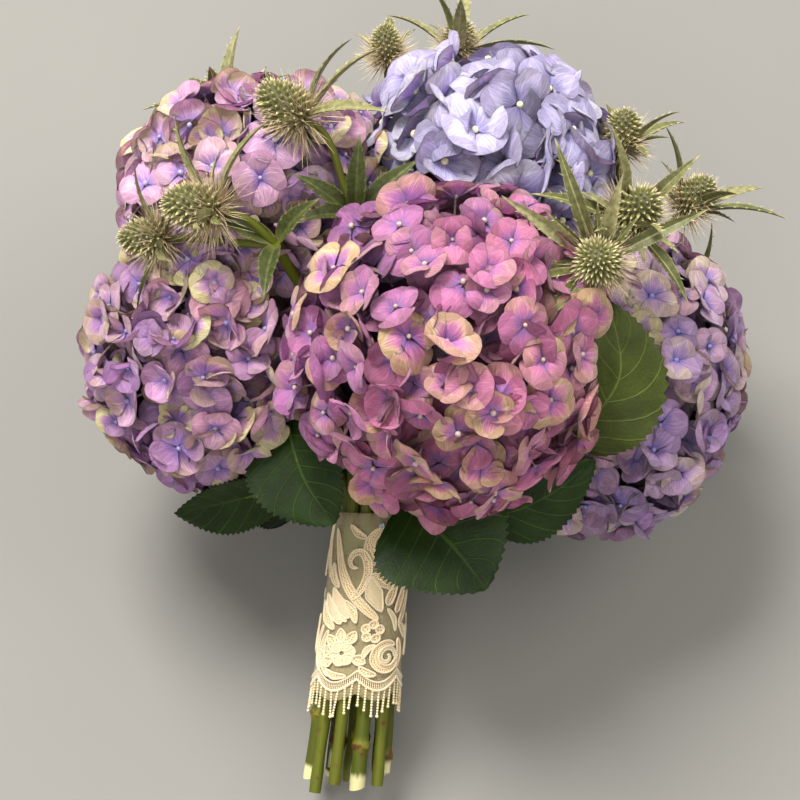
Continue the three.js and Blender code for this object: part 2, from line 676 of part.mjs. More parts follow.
for (const leaf of LEAVES) {
  leaf.solid = hydrangeaLeaf(leaf, 0);
  rooms.push(hydrangeaLeaf(leaf, CLEAR));
  addPiece(`leaf_${leaf.name}`, leaf.solid, 0x2f5a26, 0.5);
}

const obstacles = LEAVES.map((leaf) => leaf.solid);
for (const head of HEADS) {
  const solid = mainBody(clearOf(bloom(head, floor), rooms));
  obstacles.push(solid);
  addPiece(`bloom_${head.name}`, solid, head.color, 0.7);
}

for (const [name, spray] of Object.entries(SPRAYS)) {
  const solid = join([spray.body, ...sprayBlades(spray, obstacles)]);
  obstacles.push(solid);
  addPiece(`eryngium_${name}`, solid, 0x8a9b6a, 0.65);
}

addPiece('binding_tape', bindingTape(), 0x5f7a3c, 0.7);
addPiece('lace_sleeve', laceSleeve(), 0xf0e9dc, 0.85);
PINS.forEach((pin, i) => addPiece(`crystal_pin_${i + 1}`, crystalPin(pin), 0xf4f6fa, 0.1));

// Laid on its back, with the origin under the middle of it
bouquet.rotation.x = LYING_TILT;
bouquet.updateMatrixWorld(true);
const box = new THREE.Box3().setFromObject(bouquet, true);
bouquet.position.set(-(box.min.x + box.max.x) / 2, -(box.min.y + box.max.y) / 2, -box.min.z);

export default bouquet;
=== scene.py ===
"""The looks of a bridal bouquet that lies on its back.

Hydrangea heads, eryngium sprays, leaves and stems, bound and dressed in a lace sleeve with a bead fringe.
The bouquet is laid out in its own frame: X to its right, Y up along the stems and Z to its front, from the
point where the stems are bound. lying() lays what is made there on its back. Lengths are in metres, and in
the tables of places in millimetres.
"""
import json
import math
from collections import namedtuple
from contextlib import contextmanager

import bpy
import numpy as np
from mathutils import Matrix, Vector
from mathutils.bvhtree import BVHTree
from mathutils.kdtree import KDTree

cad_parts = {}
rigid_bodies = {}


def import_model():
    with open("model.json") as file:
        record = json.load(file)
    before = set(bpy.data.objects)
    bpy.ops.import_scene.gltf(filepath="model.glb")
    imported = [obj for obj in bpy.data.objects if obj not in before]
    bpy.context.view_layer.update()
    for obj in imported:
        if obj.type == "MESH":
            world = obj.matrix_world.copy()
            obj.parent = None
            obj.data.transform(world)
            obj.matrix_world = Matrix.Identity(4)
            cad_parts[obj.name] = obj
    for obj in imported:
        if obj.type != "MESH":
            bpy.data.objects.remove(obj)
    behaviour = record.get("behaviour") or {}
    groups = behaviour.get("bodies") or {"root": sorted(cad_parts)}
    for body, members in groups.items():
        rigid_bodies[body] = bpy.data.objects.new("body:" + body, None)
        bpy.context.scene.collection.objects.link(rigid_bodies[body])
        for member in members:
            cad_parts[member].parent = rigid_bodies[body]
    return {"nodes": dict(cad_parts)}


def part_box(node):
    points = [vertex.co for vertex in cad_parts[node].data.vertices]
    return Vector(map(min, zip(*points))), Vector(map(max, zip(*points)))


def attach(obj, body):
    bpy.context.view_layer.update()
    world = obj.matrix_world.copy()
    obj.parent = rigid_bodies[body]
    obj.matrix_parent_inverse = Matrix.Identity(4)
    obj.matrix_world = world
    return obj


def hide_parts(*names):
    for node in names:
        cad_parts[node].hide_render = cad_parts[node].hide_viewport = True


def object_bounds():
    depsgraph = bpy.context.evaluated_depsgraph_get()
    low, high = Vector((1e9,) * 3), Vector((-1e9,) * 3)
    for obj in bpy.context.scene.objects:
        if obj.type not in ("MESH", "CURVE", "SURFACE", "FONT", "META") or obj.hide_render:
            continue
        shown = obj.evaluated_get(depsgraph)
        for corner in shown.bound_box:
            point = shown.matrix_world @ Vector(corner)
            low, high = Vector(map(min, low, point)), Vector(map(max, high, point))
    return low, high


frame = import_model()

bl_info = {
    "name": "Bridal Bouquet",
    "version": (1, 0, 0),
    "blender": (4, 5, 0),
    "location": "View3D > Sidebar > Bouquet",
    "description": "Builds a hand-tied bridal bouquet of hydrangea and eryngium with a lace sleeve",
    "category": "Add Mesh",
}

CAD_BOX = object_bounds()
MM = 0.001
FULL_TURN = 2 * math.pi
GOLDEN_ANGLE = math.pi * (3 - math.sqrt(5))
# Four channels that the materials read, each as a share. The third is brightness, with 0.5 as it is: mostly a
# tone that differs at random, and painted shade on florets deeper in a hydrangea head.
EVEN = (0.5, 0.5, 0.5, 0.5)

# The bundle of stems
LYING_TILT = math.radians(26.4)
FOOT = Vector((-0.015, -0.143, 0))
LEAN = FOOT.x / FOOT.y
OUTER_RING = 0.013
INNER_RING = 0.0049
SPRAY_RING = 0.0138
SPLAY = 0.4
STEM_RADIUS = 0.004
SPRAY_STEM_RADIUS = 0.0032
CLEAR = 0.00035

# Hydrangea heads: centre and radii in mm, the material slot, and the colours from a sepal's throat to its rim
# and tip, and of the bead. cream is the share of cream rims, sepal the length in mm. blush_way and
# blush_share say which way and how far the sepals turn to their blush.
Head = namedtuple("Head", "at radii slot throat body blush rim pale bead cream sepal blush_way blush_share")
HEADS = {
    "front": Head(
        (35, 76, 60), (76, 79, 73), "petals_pink_magenta",
        "#8f64a8", "#a9689e", "#c87299", "#cc9a86", "#d2ae80", "#b8a59a", 0.37, 14.2, (9, -9, 3), 0.62,
    ),
    "left": Head(
        (-79, 74, 5), (64, 68, 62), "petals_violet",
        "#8a6fba", "#b081b8", "#d497ac", "#d6b496", "#ecda9e", "#8f84ae", 0.45, 13.2, (8, 4, 0), 0.45,
    ),
    "upper_left": Head(
        (-56, 153, 0), (71, 60, 60), "petals_purple_pink",
        "#927ac4", "#b48ac4", "#d29cbc", "#dab89a", "#ead6a0", "#a89ebc", 0.5, 14.2, (-4, 4, 4), 0.5,
    ),
    "top": Head(
        (56, 164, -3), (63, 63, 62), "petals_periwinkle",
        "#9891cc", "#ada6d8", "#b9b0da", "#bfb7da", "#c9c2d8", "#e4deb0", 0.6, 19.0, (0, 10, 6), 0.5,
    ),
    "right": Head(
        (118, 66, -5), (65, 82, 62), "petals_blue_violet",
        "#7f6db4", "#a080ae", "#cc9fb0", "#d2b8a0", "#e0ce9c", "#847eba", 0.32, 13.2, (-8, 6, 0), 0.5,
    ),
    "back_left": Head(
        (-28, 88, -82), (57, 58, 57), "petals_mauve",
        "#7e63ac", "#9c72a6", "#bd859f", "#d6b494", "#e4d090", "#8e80b8", 0.34, 13.8, (5, 5, 0), 0.5,
    ),
    "back_right": Head(
        (66, 95, -86), (57, 58, 57), "petals_lilac",
        "#7468ac", "#907cae", "#b090ac", "#ccb098", "#d8c694", "#8e86c0", 0.32, 13.6, (5, 5, 0), 0.45,
    ),
}

# Stems of the hydrangea heads: ring and angle in the bundle, how many mm shorter it is cut, its way in mm
STEMS = {
    "front": (OUTER_RING, 71, 2, [(8, 22, 19), (20, 48, 40), (30, 64, 52)]),
    "left": (OUTER_RING, 174, 6, [(-20, 20, 3), (-44, 47, 4), (-66, 66, 5)]),
    "upper_left": (INNER_RING, 158, 8, [(-8, 40, 3), (-20, 90, 0), (-44, 138, 0)]),
    "top": (INNER_RING, 38, 1, [(8, 40, 4), (24, 96, 0), (46, 148, -3)]),
    "right": (OUTER_RING, 0, 5, [(25, 16, 1), (64, 38, -2), (102, 58, -4)]),
    "back_left": (OUTER_RING, 245, 3, [(-11, 22, -17), (-19, 52, -44), (-25, 76, -68)]),
    "back_right": (OUTER_RING, 285, 0, [(11, 22, -20), (33, 54, -48), (56, 82, -74)]),
}

# Eryngium sprays: the stem as above, then the whorl of leaves at the fork and the heads. A whorl has a count,
# a length in mm and an axis. A head has its place in mm, its axis, the lift of the bracts, their length in
# mm, its scale and their count.
SPRAYS = {
    "front_left": (
        (SPRAY_RING, 107, 7, [(-5, 30, 16), (-9, 84, 18), (-10, 122, 38), (-9, 139, 50)]),
        (6, 36, (0, 0.45, 1)),
        [((-31, 183, 60), (-0.8, 0.55, 0.25), -0.15, 44, 1, 8)],
    ),
    "left": (
        (SPRAY_RING, 140, 2, [(-12, 28, 11), (-19, 84, 20), (-38, 112, 44), (-46, 127, 56)]),
        (6, 36, (-0.2, 0.3, 1)),
        [
            ((-71, 140, 68), (-0.92, 0.15, 0.3), -0.1, 42, 1, 8),
            ((-97, 129, 52), (-0.95, 0.0, 0.12), -0.1, 34, 0.85, 6),
        ],
    ),
    "upper_left": (
        (SPRAY_RING, 210, 9, [(-18, 26, -12), (-24, 75, -20), (-48, 110, -32), (-74, 172, -58)]),
        None,
        [((-79, 200, -34), (-0.15, 0.85, 0.45), 0.5, 40, 0.8, 7)],
    ),
    "top": (
        (INNER_RING, 278, 4, [(4, 40, -10), (7, 108, -30), (4, 160, -46), (14, 192, -42)]),
        None,
        [
            ((6, 225, -30), (-0.05, 0.9, 0.3), 0.6, 44, 0.75, 6),
            ((42, 229, -32), (0.1, 0.92, 0.3), 0.6, 42, 0.75, 6),
        ],
    ),
    "right": (
        (SPRAY_RING, 35, 5, [(18, 30, 6), (52, 78, -8), (90, 112, 26), (100, 120, 52)]),
        None,
        [
            ((103, 115, 84), (-0.1, 0.0, 1), 0.3, 50, 1, 9),
            ((118, 134, 66), (0.3, 0.42, 0.85), 0.25, 44, 1, 8),
        ],
    ),
    "far_right": (
        (SPRAY_RING, 322, 8, [(26, 24, -18), (62, 70, -34), (88, 100, -38), (118, 134, -44)]),
        None,
        [
            ((122, 175, 4), (0.1, 0.85, 0.45), 0.5, 40, 0.85, 6),
            ((152, 146, 5), (0.55, 0.6, 0.5), 0.3, 42, 0.85, 6),
            ((158, 106, -56), (0.95, 0.1, 0.1), 0.5, 46, 0.8, 7),
        ],
    ),
}

# Leaves: the stem and the height in mm that each grows from, its width in mm, the side that it faces and its
# midrib in mm
LEAVES = {
    "left_front": (
        "left", 32, 54, (-0.3, -0.3, 1),
        [(-41, 42, 33), (-39, 30, 42), (-32, 12, 46), (-19, -7, 44)],
    ),
    "low_front": (
        "front", 14, 72, (0, 0.15, 1),
        [(14, 4, 32), (24, -4, 42), (37, -16, 50), (53, -37, 56)],
    ),
    "right_front": (
        "right", 36, 52, (0.35, -0.1, 1),
        [(88, 34, 38), (101, 42, 55), (115, 64, 67), (110, 98, 69)],
    ),
    "low_right": (
        "right", 16, 42, (0.2, -0.6, 0.8),
        [(46, -4, 22), (64, -2, 34), (84, 7, 42), (105, 24, 47)],
    ),
    "low_left": (
        "left", 20, 44, (0, -0.75, 0.65),
        [(-42, 12, 10), (-58, 6, 13), (-78, 1, 16), (-98, -3, 20)],
    ),
    "back_left": (
        "back_left", 20, 52, (-0.3, -0.8, -0.5),
        [(-22, 2, -34), (-35, -2, -48), (-52, 0, -60), (-74, 10, -68)],
    ),
    "back_right": (
        "back_right", 20, 52, (0.3, -0.8, -0.5),
        [(36, 2, -34), (55, 0, -46), (75, 4, -56), (99, 16, -60)],
    ),
}
LIGHT_LEAVES = ("right_front",)

# Lace sleeve, tape and pins
SLEEVE_TOP = -0.003
SLEEVE_FOOT = -0.087
SLEEVE_STANDOFF = 0.0014
SLEEVE_THICKNESS = 0.0008
SCALLOPS = 6
SCALLOP_DEPTH = 0.006
TAPE_TOP = -0.010
TAPE_FOOT = -0.024
PIN_RADIUS = 0.0016
PINS = [(12, -0.009), (46, -0.011), (66, -0.020)]


def bundle_radius(height):
    """The outside of the bundle of stems at a height."""
    return OUTER_RING * (1 + SPLAY * height / FOOT.y) + STEM_RADIUS


def round_bundle(angle, height, radius):
    """Points at a radius round the leaning bundle."""
    return np.stack([radius * np.sin(angle) + LEAN * height, height, radius * np.cos(angle)], -1)


def pin_place(bearing, height):
    """The middle of a crystal in the bouquet's own frame."""
    distance = bundle_radius(height) + SLEEVE_STANDOFF + SLEEVE_THICKNESS + CLEAR + PIN_RADIUS
    return Vector(round_bundle(math.radians(bearing), height, distance))


def laying():
    """The turn and shift from the bouquet's own frame to the row frame, found from the first crystal."""
    turn = Matrix.Rotation(LYING_TILT, 4, "X")
    low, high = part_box("crystal_pin_1")
    return Matrix.Translation((low + high) / 2 - turn @ pin_place(*PINS[0])) @ turn


LAYING = laying()


def lying(points):
    """Points of the bouquet's own frame, in the row frame."""
    return np.asarray(points, float) @ np.array(LAYING.to_3x3()).T + np.array(LAYING.translation)


def unit(vectors):
    """Vectors at length 1."""
    vectors = np.asarray(vectors, float)
    return vectors / np.linalg.norm(vectors, axis=-1, keepdims=True)


def stacked(count, *columns):
    """Columns side by side, where a plain number counts for the whole column."""
    return np.stack([np.broadcast_to(column, count) for column in columns], axis=1)


def placed(shape, frames, places):
    """A copy of a shape's points for each frame, at its place. shape may also be one array for each copy."""
    return shape @ frames.transpose(0, 2, 1) + places[:, None]


def smooth(low, high, value):
    """0 below low, 1 above high and a soft step between."""
    share = np.clip((value - low) / (high - low), 0, 1)
    return share * share * (3 - 2 * share)


def run_of(line):
    """How far each point of a line lies from its start, along it."""
    return np.concatenate([[0], np.cumsum(np.linalg.norm(np.diff(line, axis=0), axis=1))])


def seeded(state):
    """Draws that look made by chance but come out the same each time, for the blades of the sprays."""

    def draw():
        nonlocal state
        state = (state + 0x6D2B79F5) & 0xFFFFFFFF
        word = ((state ^ (state >> 15)) * (1 | state)) & 0xFFFFFFFF
        word = (word + ((word ^ (word >> 7)) * (61 | word))) & 0xFFFFFFFF ^ word
        return ((word ^ (word >> 14)) & 0xFFFFFFFF) / 0x100000000

    return draw


def curve_through(points, count):
    """A smooth line through points, as evenly spaced points with their directions."""
    points = np.asarray(points, float)
    ends = [2 * points[0] - points[1], *points, 2 * points[-1] - points[-2]]
    step = np.linspace(0, 1, 40, endpoint=False)[:, None]
    line = []
    for knots in zip(ends, ends[1:], ends[2:], ends[3:]):
        before, start, stop, after = knots
        gaps = [max(np.linalg.norm(b - a) ** 0.5, 1e-6) for a, b in zip(knots, knots[1:])]
        leave = (start - before) / gaps[0] - (stop - before) / (gaps[0] + gaps[1]) + (stop - start) / gaps[1]
        reach = (stop - start) / gaps[1] - (after - start) / (gaps[1] + gaps[2]) + (after - stop) / gaps[2]
        leave, reach = leave * gaps[1], reach * gaps[1]
        line.append(
            start + leave * step + (3 * (stop - start) - 2 * leave - reach) * step**2
            + (2 * (start - stop) + leave + reach) * step**3
        )
    line = np.concatenate([*line, points[-1:]])
    run = run_of(line)
    even = np.linspace(0, run[-1], count)
    spaced = np.stack([np.interp(even, run, axis) for axis in line.T], axis=1)
    return spaced, unit(np.gradient(spaced, axis=0))


def stem_line(ring, angle, cut, way, count=120):
    """The middle line of a stem, from its cut end through the bundle to its head."""
    turn = math.radians(angle)
    line = []
    for height in (FOOT.y + cut * MM, FOOT.y * 0.66, FOOT.y * 0.33, 0):
        down = height / FOOT.y
        wide = ring * (1 + SPLAY * down)
        line.append((FOOT.x * down + wide * math.cos(turn), height, wide * math.sin(turn)))
    return curve_through([*line, *(np.array(way) * MM)], count)


def deselect():
    """Leaves nothing selected, so that an operator acts on its own piece alone."""
    bpy.ops.object.select_all(action="DESELECT")


@contextmanager
def edit_mode():
    """Edit mode with the whole of the active mesh selected."""
    bpy.ops.object.mode_set(mode="EDIT")
    bpy.ops.mesh.select_all(action="SELECT")
    yield
    bpy.ops.object.mode_set(mode="OBJECT")


def thickened(obj, thickness, offset):
    """Gives a sheet its wall with an applied modifier."""
    bpy.ops.object.modifier_add(type="SOLIDIFY")
    obj.modifiers[-1].thickness = thickness
    obj.modifiers[-1].offset = offset
    bpy.ops.object.modifier_apply(modifier=obj.modifiers[-1].name)


def read_out(items, name, kind, width=1):
    """A property of a mesh's vertices, corners or faces as an array."""
    values = np.empty(len(items) * width, kind)
    items.foreach_get(name, values)
    return values if width == 1 else values.reshape(-1, width)


def coordinates(mesh):
    """A mesh's vertices as an array."""
    return read_out(mesh.vertices, "co", np.float32, 3).astype(float)


def place_vertices(obj, points):
    """Moves a mesh's vertices."""
    obj.data.vertices.foreach_set("co", np.asarray(points, np.float32).ravel())
    obj.data.update()


class Pattern:
    """A small modelled shape as arrays, for copies that share one mesh. chart is its own flat map."""

    def __init__(self, corners, sizes, chart, points=None):
        self.corners, self.sizes, self.chart, self.points = corners, sizes, chart, points


def pattern_of(obj):
    """Takes a modelled shape out of the scene as a pattern."""
    mesh = obj.data
    chart = np.zeros((len(mesh.vertices), 2))
    if "chart" in mesh.attributes:
        chart = read_out(mesh.attributes["chart"].data, "vector", np.float32, 3)[:, :2].astype(float)
    corners = read_out(mesh.loops, "vertex_index", np.int32)
    pattern = Pattern(corners, read_out(mesh.polygons, "loop_total", np.int32), chart, coordinates(mesh))
    bpy.data.objects.remove(obj)
    return pattern


def keep_chart(obj, across, along):
    """Stores each vertex's place on the flat map, which edit mode then carries along."""
    chart = stacked(len(along), across, along, 0).astype(np.float32)
    obj.data.attributes.new("chart", "FLOAT_VECTOR", "POINT").data.foreach_set("vector", chart.ravel())


class Heap:
    """Gathers shaped copies of patterns for one piece."""

    def __init__(self):
        self.points, self.corners, self.sizes = [], [], []
        self.charts, self.tints, self.slots = [], [], []
        self.count = 0

    def add(self, pattern, points, tint=EVEN, slot=0):
        """Adds copies. points is one array of the pattern's vertices for each copy, tint one for each."""
        points = np.asarray(points, float)
        if points.ndim == 2:
            points = points[None]
        copies, size = points.shape[:2]
        if not copies:
            return
        tint = np.asarray(tint, float)
        if tint.ndim < 3:
            tint = np.repeat(np.broadcast_to(tint, (copies, 4))[:, None], size, axis=1)
        self.points.append(points.reshape(-1, 3))
        self.corners.append((pattern.corners + self.count + size * np.arange(copies)[:, None]).ravel())
        self.sizes.append(np.tile(pattern.sizes, copies))
        self.charts.append(np.tile(pattern.chart, (copies, 1)))
        self.tints.append(tint.reshape(-1, 4))
        self.slots.append(np.full(copies * len(pattern.sizes), slot))
        self.count += copies * size

    def piece(self, name, materials, sharp=60):
        """The mesh object in the row frame, laid on its back, with nothing below the surface it lies on."""
        points = lying(np.concatenate(self.points))
        points[:, 2] = np.maximum(points[:, 2], CLEAR)
        corners = np.concatenate(self.corners)
        sizes = np.concatenate(self.sizes)
        mesh = bpy.data.meshes.new(name)
        for items, size in ((mesh.vertices, points), (mesh.loops, corners), (mesh.polygons, sizes)):
            items.add(len(size))

        def fill(items, key, values, kind=np.float32):
            items.foreach_set(key, values.astype(kind).ravel())

        fill(mesh.vertices, "co", points)
        fill(mesh.loops, "vertex_index", corners, np.int32)
        fill(mesh.polygons, "loop_start", np.cumsum(sizes) - sizes, np.int32)
        fill(mesh.polygons, "material_index", np.concatenate(self.slots), np.int32)
        mesh.update(calc_edges=True)
        fill(mesh.uv_layers.new(name="chart").data, "uv", np.concatenate(self.charts)[corners])
        fill(mesh.attributes.new("tint", "FLOAT_COLOR", "POINT").data, "color", np.concatenate(self.tints))
        mesh.validate()
        for made in materials:
            mesh.materials.append(made)
        obj = bpy.data.objects.new(name, mesh)
        bpy.context.scene.collection.objects.link(obj)
        deselect()
        obj.select_set(True)
        bpy.context.view_layer.objects.active = obj
        bpy.ops.object.shade_smooth_by_angle(angle=math.radians(sharp))
        return obj


def basis(normals, turns):
    """Turns that take Z to each normal and then X and Y round it."""
    normals = unit(normals)
    helper = np.where(np.abs(normals[:, 1:2]) < 0.9, [[0.0, 1.0, 0.0]], [[1.0, 0.0, 0.0]])
    across = unit(np.cross(helper, normals))
    along = np.cross(normals, across)
    turns = np.broadcast_to(turns, len(normals))[:, None]
    first = across * np.cos(turns) + along * np.sin(turns)
    return np.stack([first, np.cross(normals, first), normals], axis=2)


def tube(heap, line, radii, sides, tint=EVEN, slot=0):
    """Adds a round closed tube along a line. chart runs round it, and along it in metres."""
    line = np.asarray(line, float)
    ahead = unit(np.gradient(line, axis=0))
    side = unit(np.cross(ahead[0], [0.3, 0.2, 1.0]))
    angles = np.linspace(0, FULL_TURN, sides, endpoint=False)[:, None]
    rings = []
    for middle, forward, radius in zip(line, ahead, np.broadcast_to(radii, len(line))):
        side = unit(side - forward * (side @ forward))
        up = np.cross(forward, side)
        rings.append(middle + radius * (np.cos(angles) * side + np.sin(angles) * up))
    run = run_of(line)
    around = np.tile(np.linspace(0, 1, sides, endpoint=False), len(line))
    chart = np.stack([np.append(around, [0.5, 0.5]), np.append(np.repeat(run, sides), [0, run[-1]])], axis=1)
    first = np.arange(sides)
    following = (first + 1) % sides
    row = sides * np.arange(len(line) - 1)[:, None]
    quads = np.stack([row + first, row + following, row + sides + following, row + sides + first], axis=-1)
    last = row[-1] + sides
    end = len(line) * sides
    bottom = stacked(sides, following, first, end)
    top = stacked(sides, last + first, last + following, end + 1)
    corners = np.concatenate([quads.ravel(), bottom.ravel(), top.ravel()])
    sizes = np.repeat([4, 3], [quads.size // 4, 2 * sides])
    heap.add(Pattern(corners, sizes, chart), np.concatenate([*rings, line[:1], line[-1:]]), tint, slot)


def thin_closed(thickness):
    """Gives the active open blade a closed underside that meets it along its rim."""
    with edit_mode():
        bpy.ops.mesh.duplicate()
        bpy.ops.mesh.flip_normals()
        bpy.ops.mesh.select_less()
        bpy.ops.transform.shrink_fatten(value=thickness)
        bpy.ops.mesh.select_all(action="SELECT")
        bpy.ops.mesh.remove_doubles(threshold=thickness * 0.2)


def grid(columns, rows):
    """A grid primitive from -1 to 1 across and 0 to 1 along, with its chart."""
    deselect()
    bpy.ops.mesh.primitive_grid_add(x_subdivisions=columns, y_subdivisions=rows, size=1)
    obj = bpy.context.object
    flat = coordinates(obj.data)
    across, along = 2 * flat[:, 0], flat[:, 1] + 0.5
    keep_chart(obj, across / 2 + 0.5, along)
    return obj, across, along


# Walls of the thin pieces, against their length
SEPAL_THICKNESS = 0.024
BLADE_THICKNESS = 0.012
LEAF_THICKNESS = 0.011


def model_sepal(width, lift, dome, ruffle, phase, columns=5, rows=5):
    """One sepal, 1 long: a short claw that opens to a round blade, domed or cupped, with a soft ruffle."""
    obj, across, along = grid(columns, rows)
    level = 2 * along - 1
    round_across = across * np.sqrt(1 - level**2 / 2)
    round_level = level * np.sqrt(1 - across**2 / 2)
    reach = (round_level + 1) / 2
    rim = round_across**2 + round_level**2
    claw = 0.15 + 0.85 * smooth(-0.1, 0.42, reach)
    notch = 0.03 * np.exp(-((round_across / 0.22) ** 2)) * smooth(0.8, 1.0, reach)
    wave = ruffle * np.sin(3.1 * round_across + 3.4 * reach + phase) * rim * smooth(0.2, 0.8, reach)
    crease = -0.05 * np.exp(-((round_across / 0.16) ** 2)) * smooth(0.0, 0.3, reach) * (1 - reach)
    height = lift * reach**2 + dome * (1 - rim) * smooth(-0.1, 0.4, reach) + wave + crease
    place_vertices(obj, np.stack([round_across * width * claw, reach - notch, height], axis=1))
    thin_closed(SEPAL_THICKNESS)
    return pattern_of(obj)


def model_bead(segments=8, rings=5):
    """A round bud, bead or seed bead, 1 in radius."""
    deselect()
    bpy.ops.mesh.primitive_uv_sphere_add(segments=segments, ring_count=rings, radius=1)
    return pattern_of(bpy.context.object)


def model_spike(sides, foot=1.0, tip=0.0, height=1.0, point=0.0):
    """A slim spike, stalk or scale on its foot: narrower to its tip, and drawn out to a stiff point."""
    deselect()
    bpy.ops.mesh.primitive_cone_add(
        vertices=sides, radius1=foot, radius2=tip, depth=height, location=(0, 0, height / 2),
    )
    obj = bpy.context.object
    bpy.ops.object.transform_apply(location=True)
    if point:
        with edit_mode():
            bpy.ops.mesh.select_mode(type="FACE")
            bpy.ops.mesh.select_all(action="DESELECT")
        for face in obj.data.polygons:
            face.select = face.normal.z > 0.9
        bpy.ops.object.mode_set(mode="EDIT")
        bpy.ops.mesh.extrude_region_move(TRANSFORM_OT_translate={"value": (0, 0, point)})
        bpy.ops.transform.resize(value=(0.12, 0.12, 1))
        bpy.ops.object.mode_set(mode="OBJECT")
    keep_chart(obj, 0, coordinates(obj.data)[:, 2])
    return pattern_of(obj)


# Width of a bract along its length, against its widest
BRACT_STATIONS = [0, 0.12, 0.3, 0.5, 0.68, 0.85, 1]
BRACT_WIDTHS = [0.42, 0.72, 0.95, 1.0, 0.8, 0.42, 0.02]


def model_blade():
    """A narrow spiny blade laid flat: 1 long and 1 at its widest."""
    obj, across, along = grid(4, 14)
    half = 0.5 * np.interp(along, BRACT_STATIONS, BRACT_WIDTHS)
    place_vertices(obj, stacked(len(along), across * half, along, 0))
    thin_closed(BLADE_THICKNESS)
    return pattern_of(obj)


def leaf_outline(share):
    """Half the width of a hydrangea leaf along its midrib, against the whole half width."""
    return np.sin(math.pi * share**0.8) ** 0.75


LEAF_TEETH = 24
LEAF_COLUMNS = 12
VEINS = 7
VEIN_SLANT = 1.7


def model_leaf():
    """A broad toothed leaf laid flat: 1 long and 1 wide, with the blade puffed up between its veins."""
    obj, across, along = grid(LEAF_COLUMNS, 3 * LEAF_TEETH)
    tooth = (np.round(along * 3 * LEAF_TEETH) % 3) / 2
    edge = np.abs(across) ** 6
    half = 0.5 * leaf_outline(np.clip(along, 0.012, 0.994)) * (1 - 0.075 * tooth * edge)
    forward = 0.012 * (1 - tooth) * edge * (along > 0.05)
    vein = along * VEINS - VEIN_SLANT * np.abs(across)
    puff = np.abs(np.sin(math.pi * vein)) ** 0.6 * np.abs(across) * (1 - np.abs(across) ** 3)
    wave = 0.018 * np.sin(9 * along + 2 * across) * across**2
    place_vertices(obj, np.stack([across * half, along + forward, 0.016 * puff + wave], axis=1))
    thin_closed(LEAF_THICKNESS)
    return pattern_of(obj)


def linear(colour):
    """An sRGB hex colour as linear red, green, blue and alpha."""
    channels = [int(colour[i:i + 2], 16) / 255 for i in (1, 3, 5)]
    return (*(c / 12.92 if c <= 0.04045 else ((c + 0.055) / 1.055) ** 2.4 for c in channels), 1.0)


# Choices of a Mix node that mixes colours, and of a Map Range node with soft ends
COLOURS = {"data_type": "RGBA"}
SOFT = {"interpolation_type": "SMOOTHSTEP"}


class Finish:
    """A material in the making, with its nodes."""

    def __init__(self, name, **sockets):
        self.material = bpy.data.materials.new(name)
        self.material.use_nodes = True
        self.ready(**sockets)

    def feed(self, socket, value):
        """Links a socket to the result that feeds it, or sets its value. A colour may be in sRGB hex."""
        if isinstance(value, bpy.types.NodeSocket):
            self.material.node_tree.links.new(value, socket)
        else:
            socket.default_value = linear(value) if isinstance(value, str) else value

    def add(self, kind, *values, out=None, **settings):
        """Adds a node and gives its first result, or the one that out names. A kind in capitals is a sum of
        the Math node. values feed its sockets in order. settings are its choices, and sockets by name."""
        if kind.isupper():
            kind, settings["operation"] = "Math", kind
        node = self.material.node_tree.nodes.new("ShaderNode" + kind)
        for key in [key for key in settings if hasattr(node, key)]:
            setattr(node, key, settings.pop(key))
        for socket, value in zip([socket for socket in node.inputs if socket.enabled], values):
            self.feed(socket, value)
        for key, value in settings.items():
            self.feed(node.inputs[key], value)
        return node.outputs[out] if out else next(socket for socket in node.outputs if socket.enabled)

    def ready(self, **sockets):
        """Feeds the Principled shader, and gives the material."""
        shader = self.material.node_tree.nodes["Principled BSDF"]
        for key, value in sockets.items():
            self.feed(shader.inputs[key.replace("_", " ")], value)
        return self.material

    def charted(self):
        """The piece's own map, split in two, its tint, split in four, and the place on the object."""
        chart = self.add("SeparateXYZ", self.add("UVMap", uv_map="chart")).node.outputs
        tint = self.add("Attribute", attribute_name="tint", attribute_type="GEOMETRY").node.outputs
        split = self.add("SeparateColor", tint["Color"]).node.outputs
        return (*chart[:2], *split[:3], tint["Alpha"], self.add("TexCoord", out="Object"))

    def shaded(self, colour, light, *shares):
        """A colour at a brightness, where 0.5 is as it is, made lighter or darker by shares."""
        product = self.add("MULTIPLY", light, 2.0)
        for share in shares:
            product = self.add("MULTIPLY", product, share)
        return self.add("Mix", 1.0, colour, product, blend_type="MULTIPLY", **COLOURS)


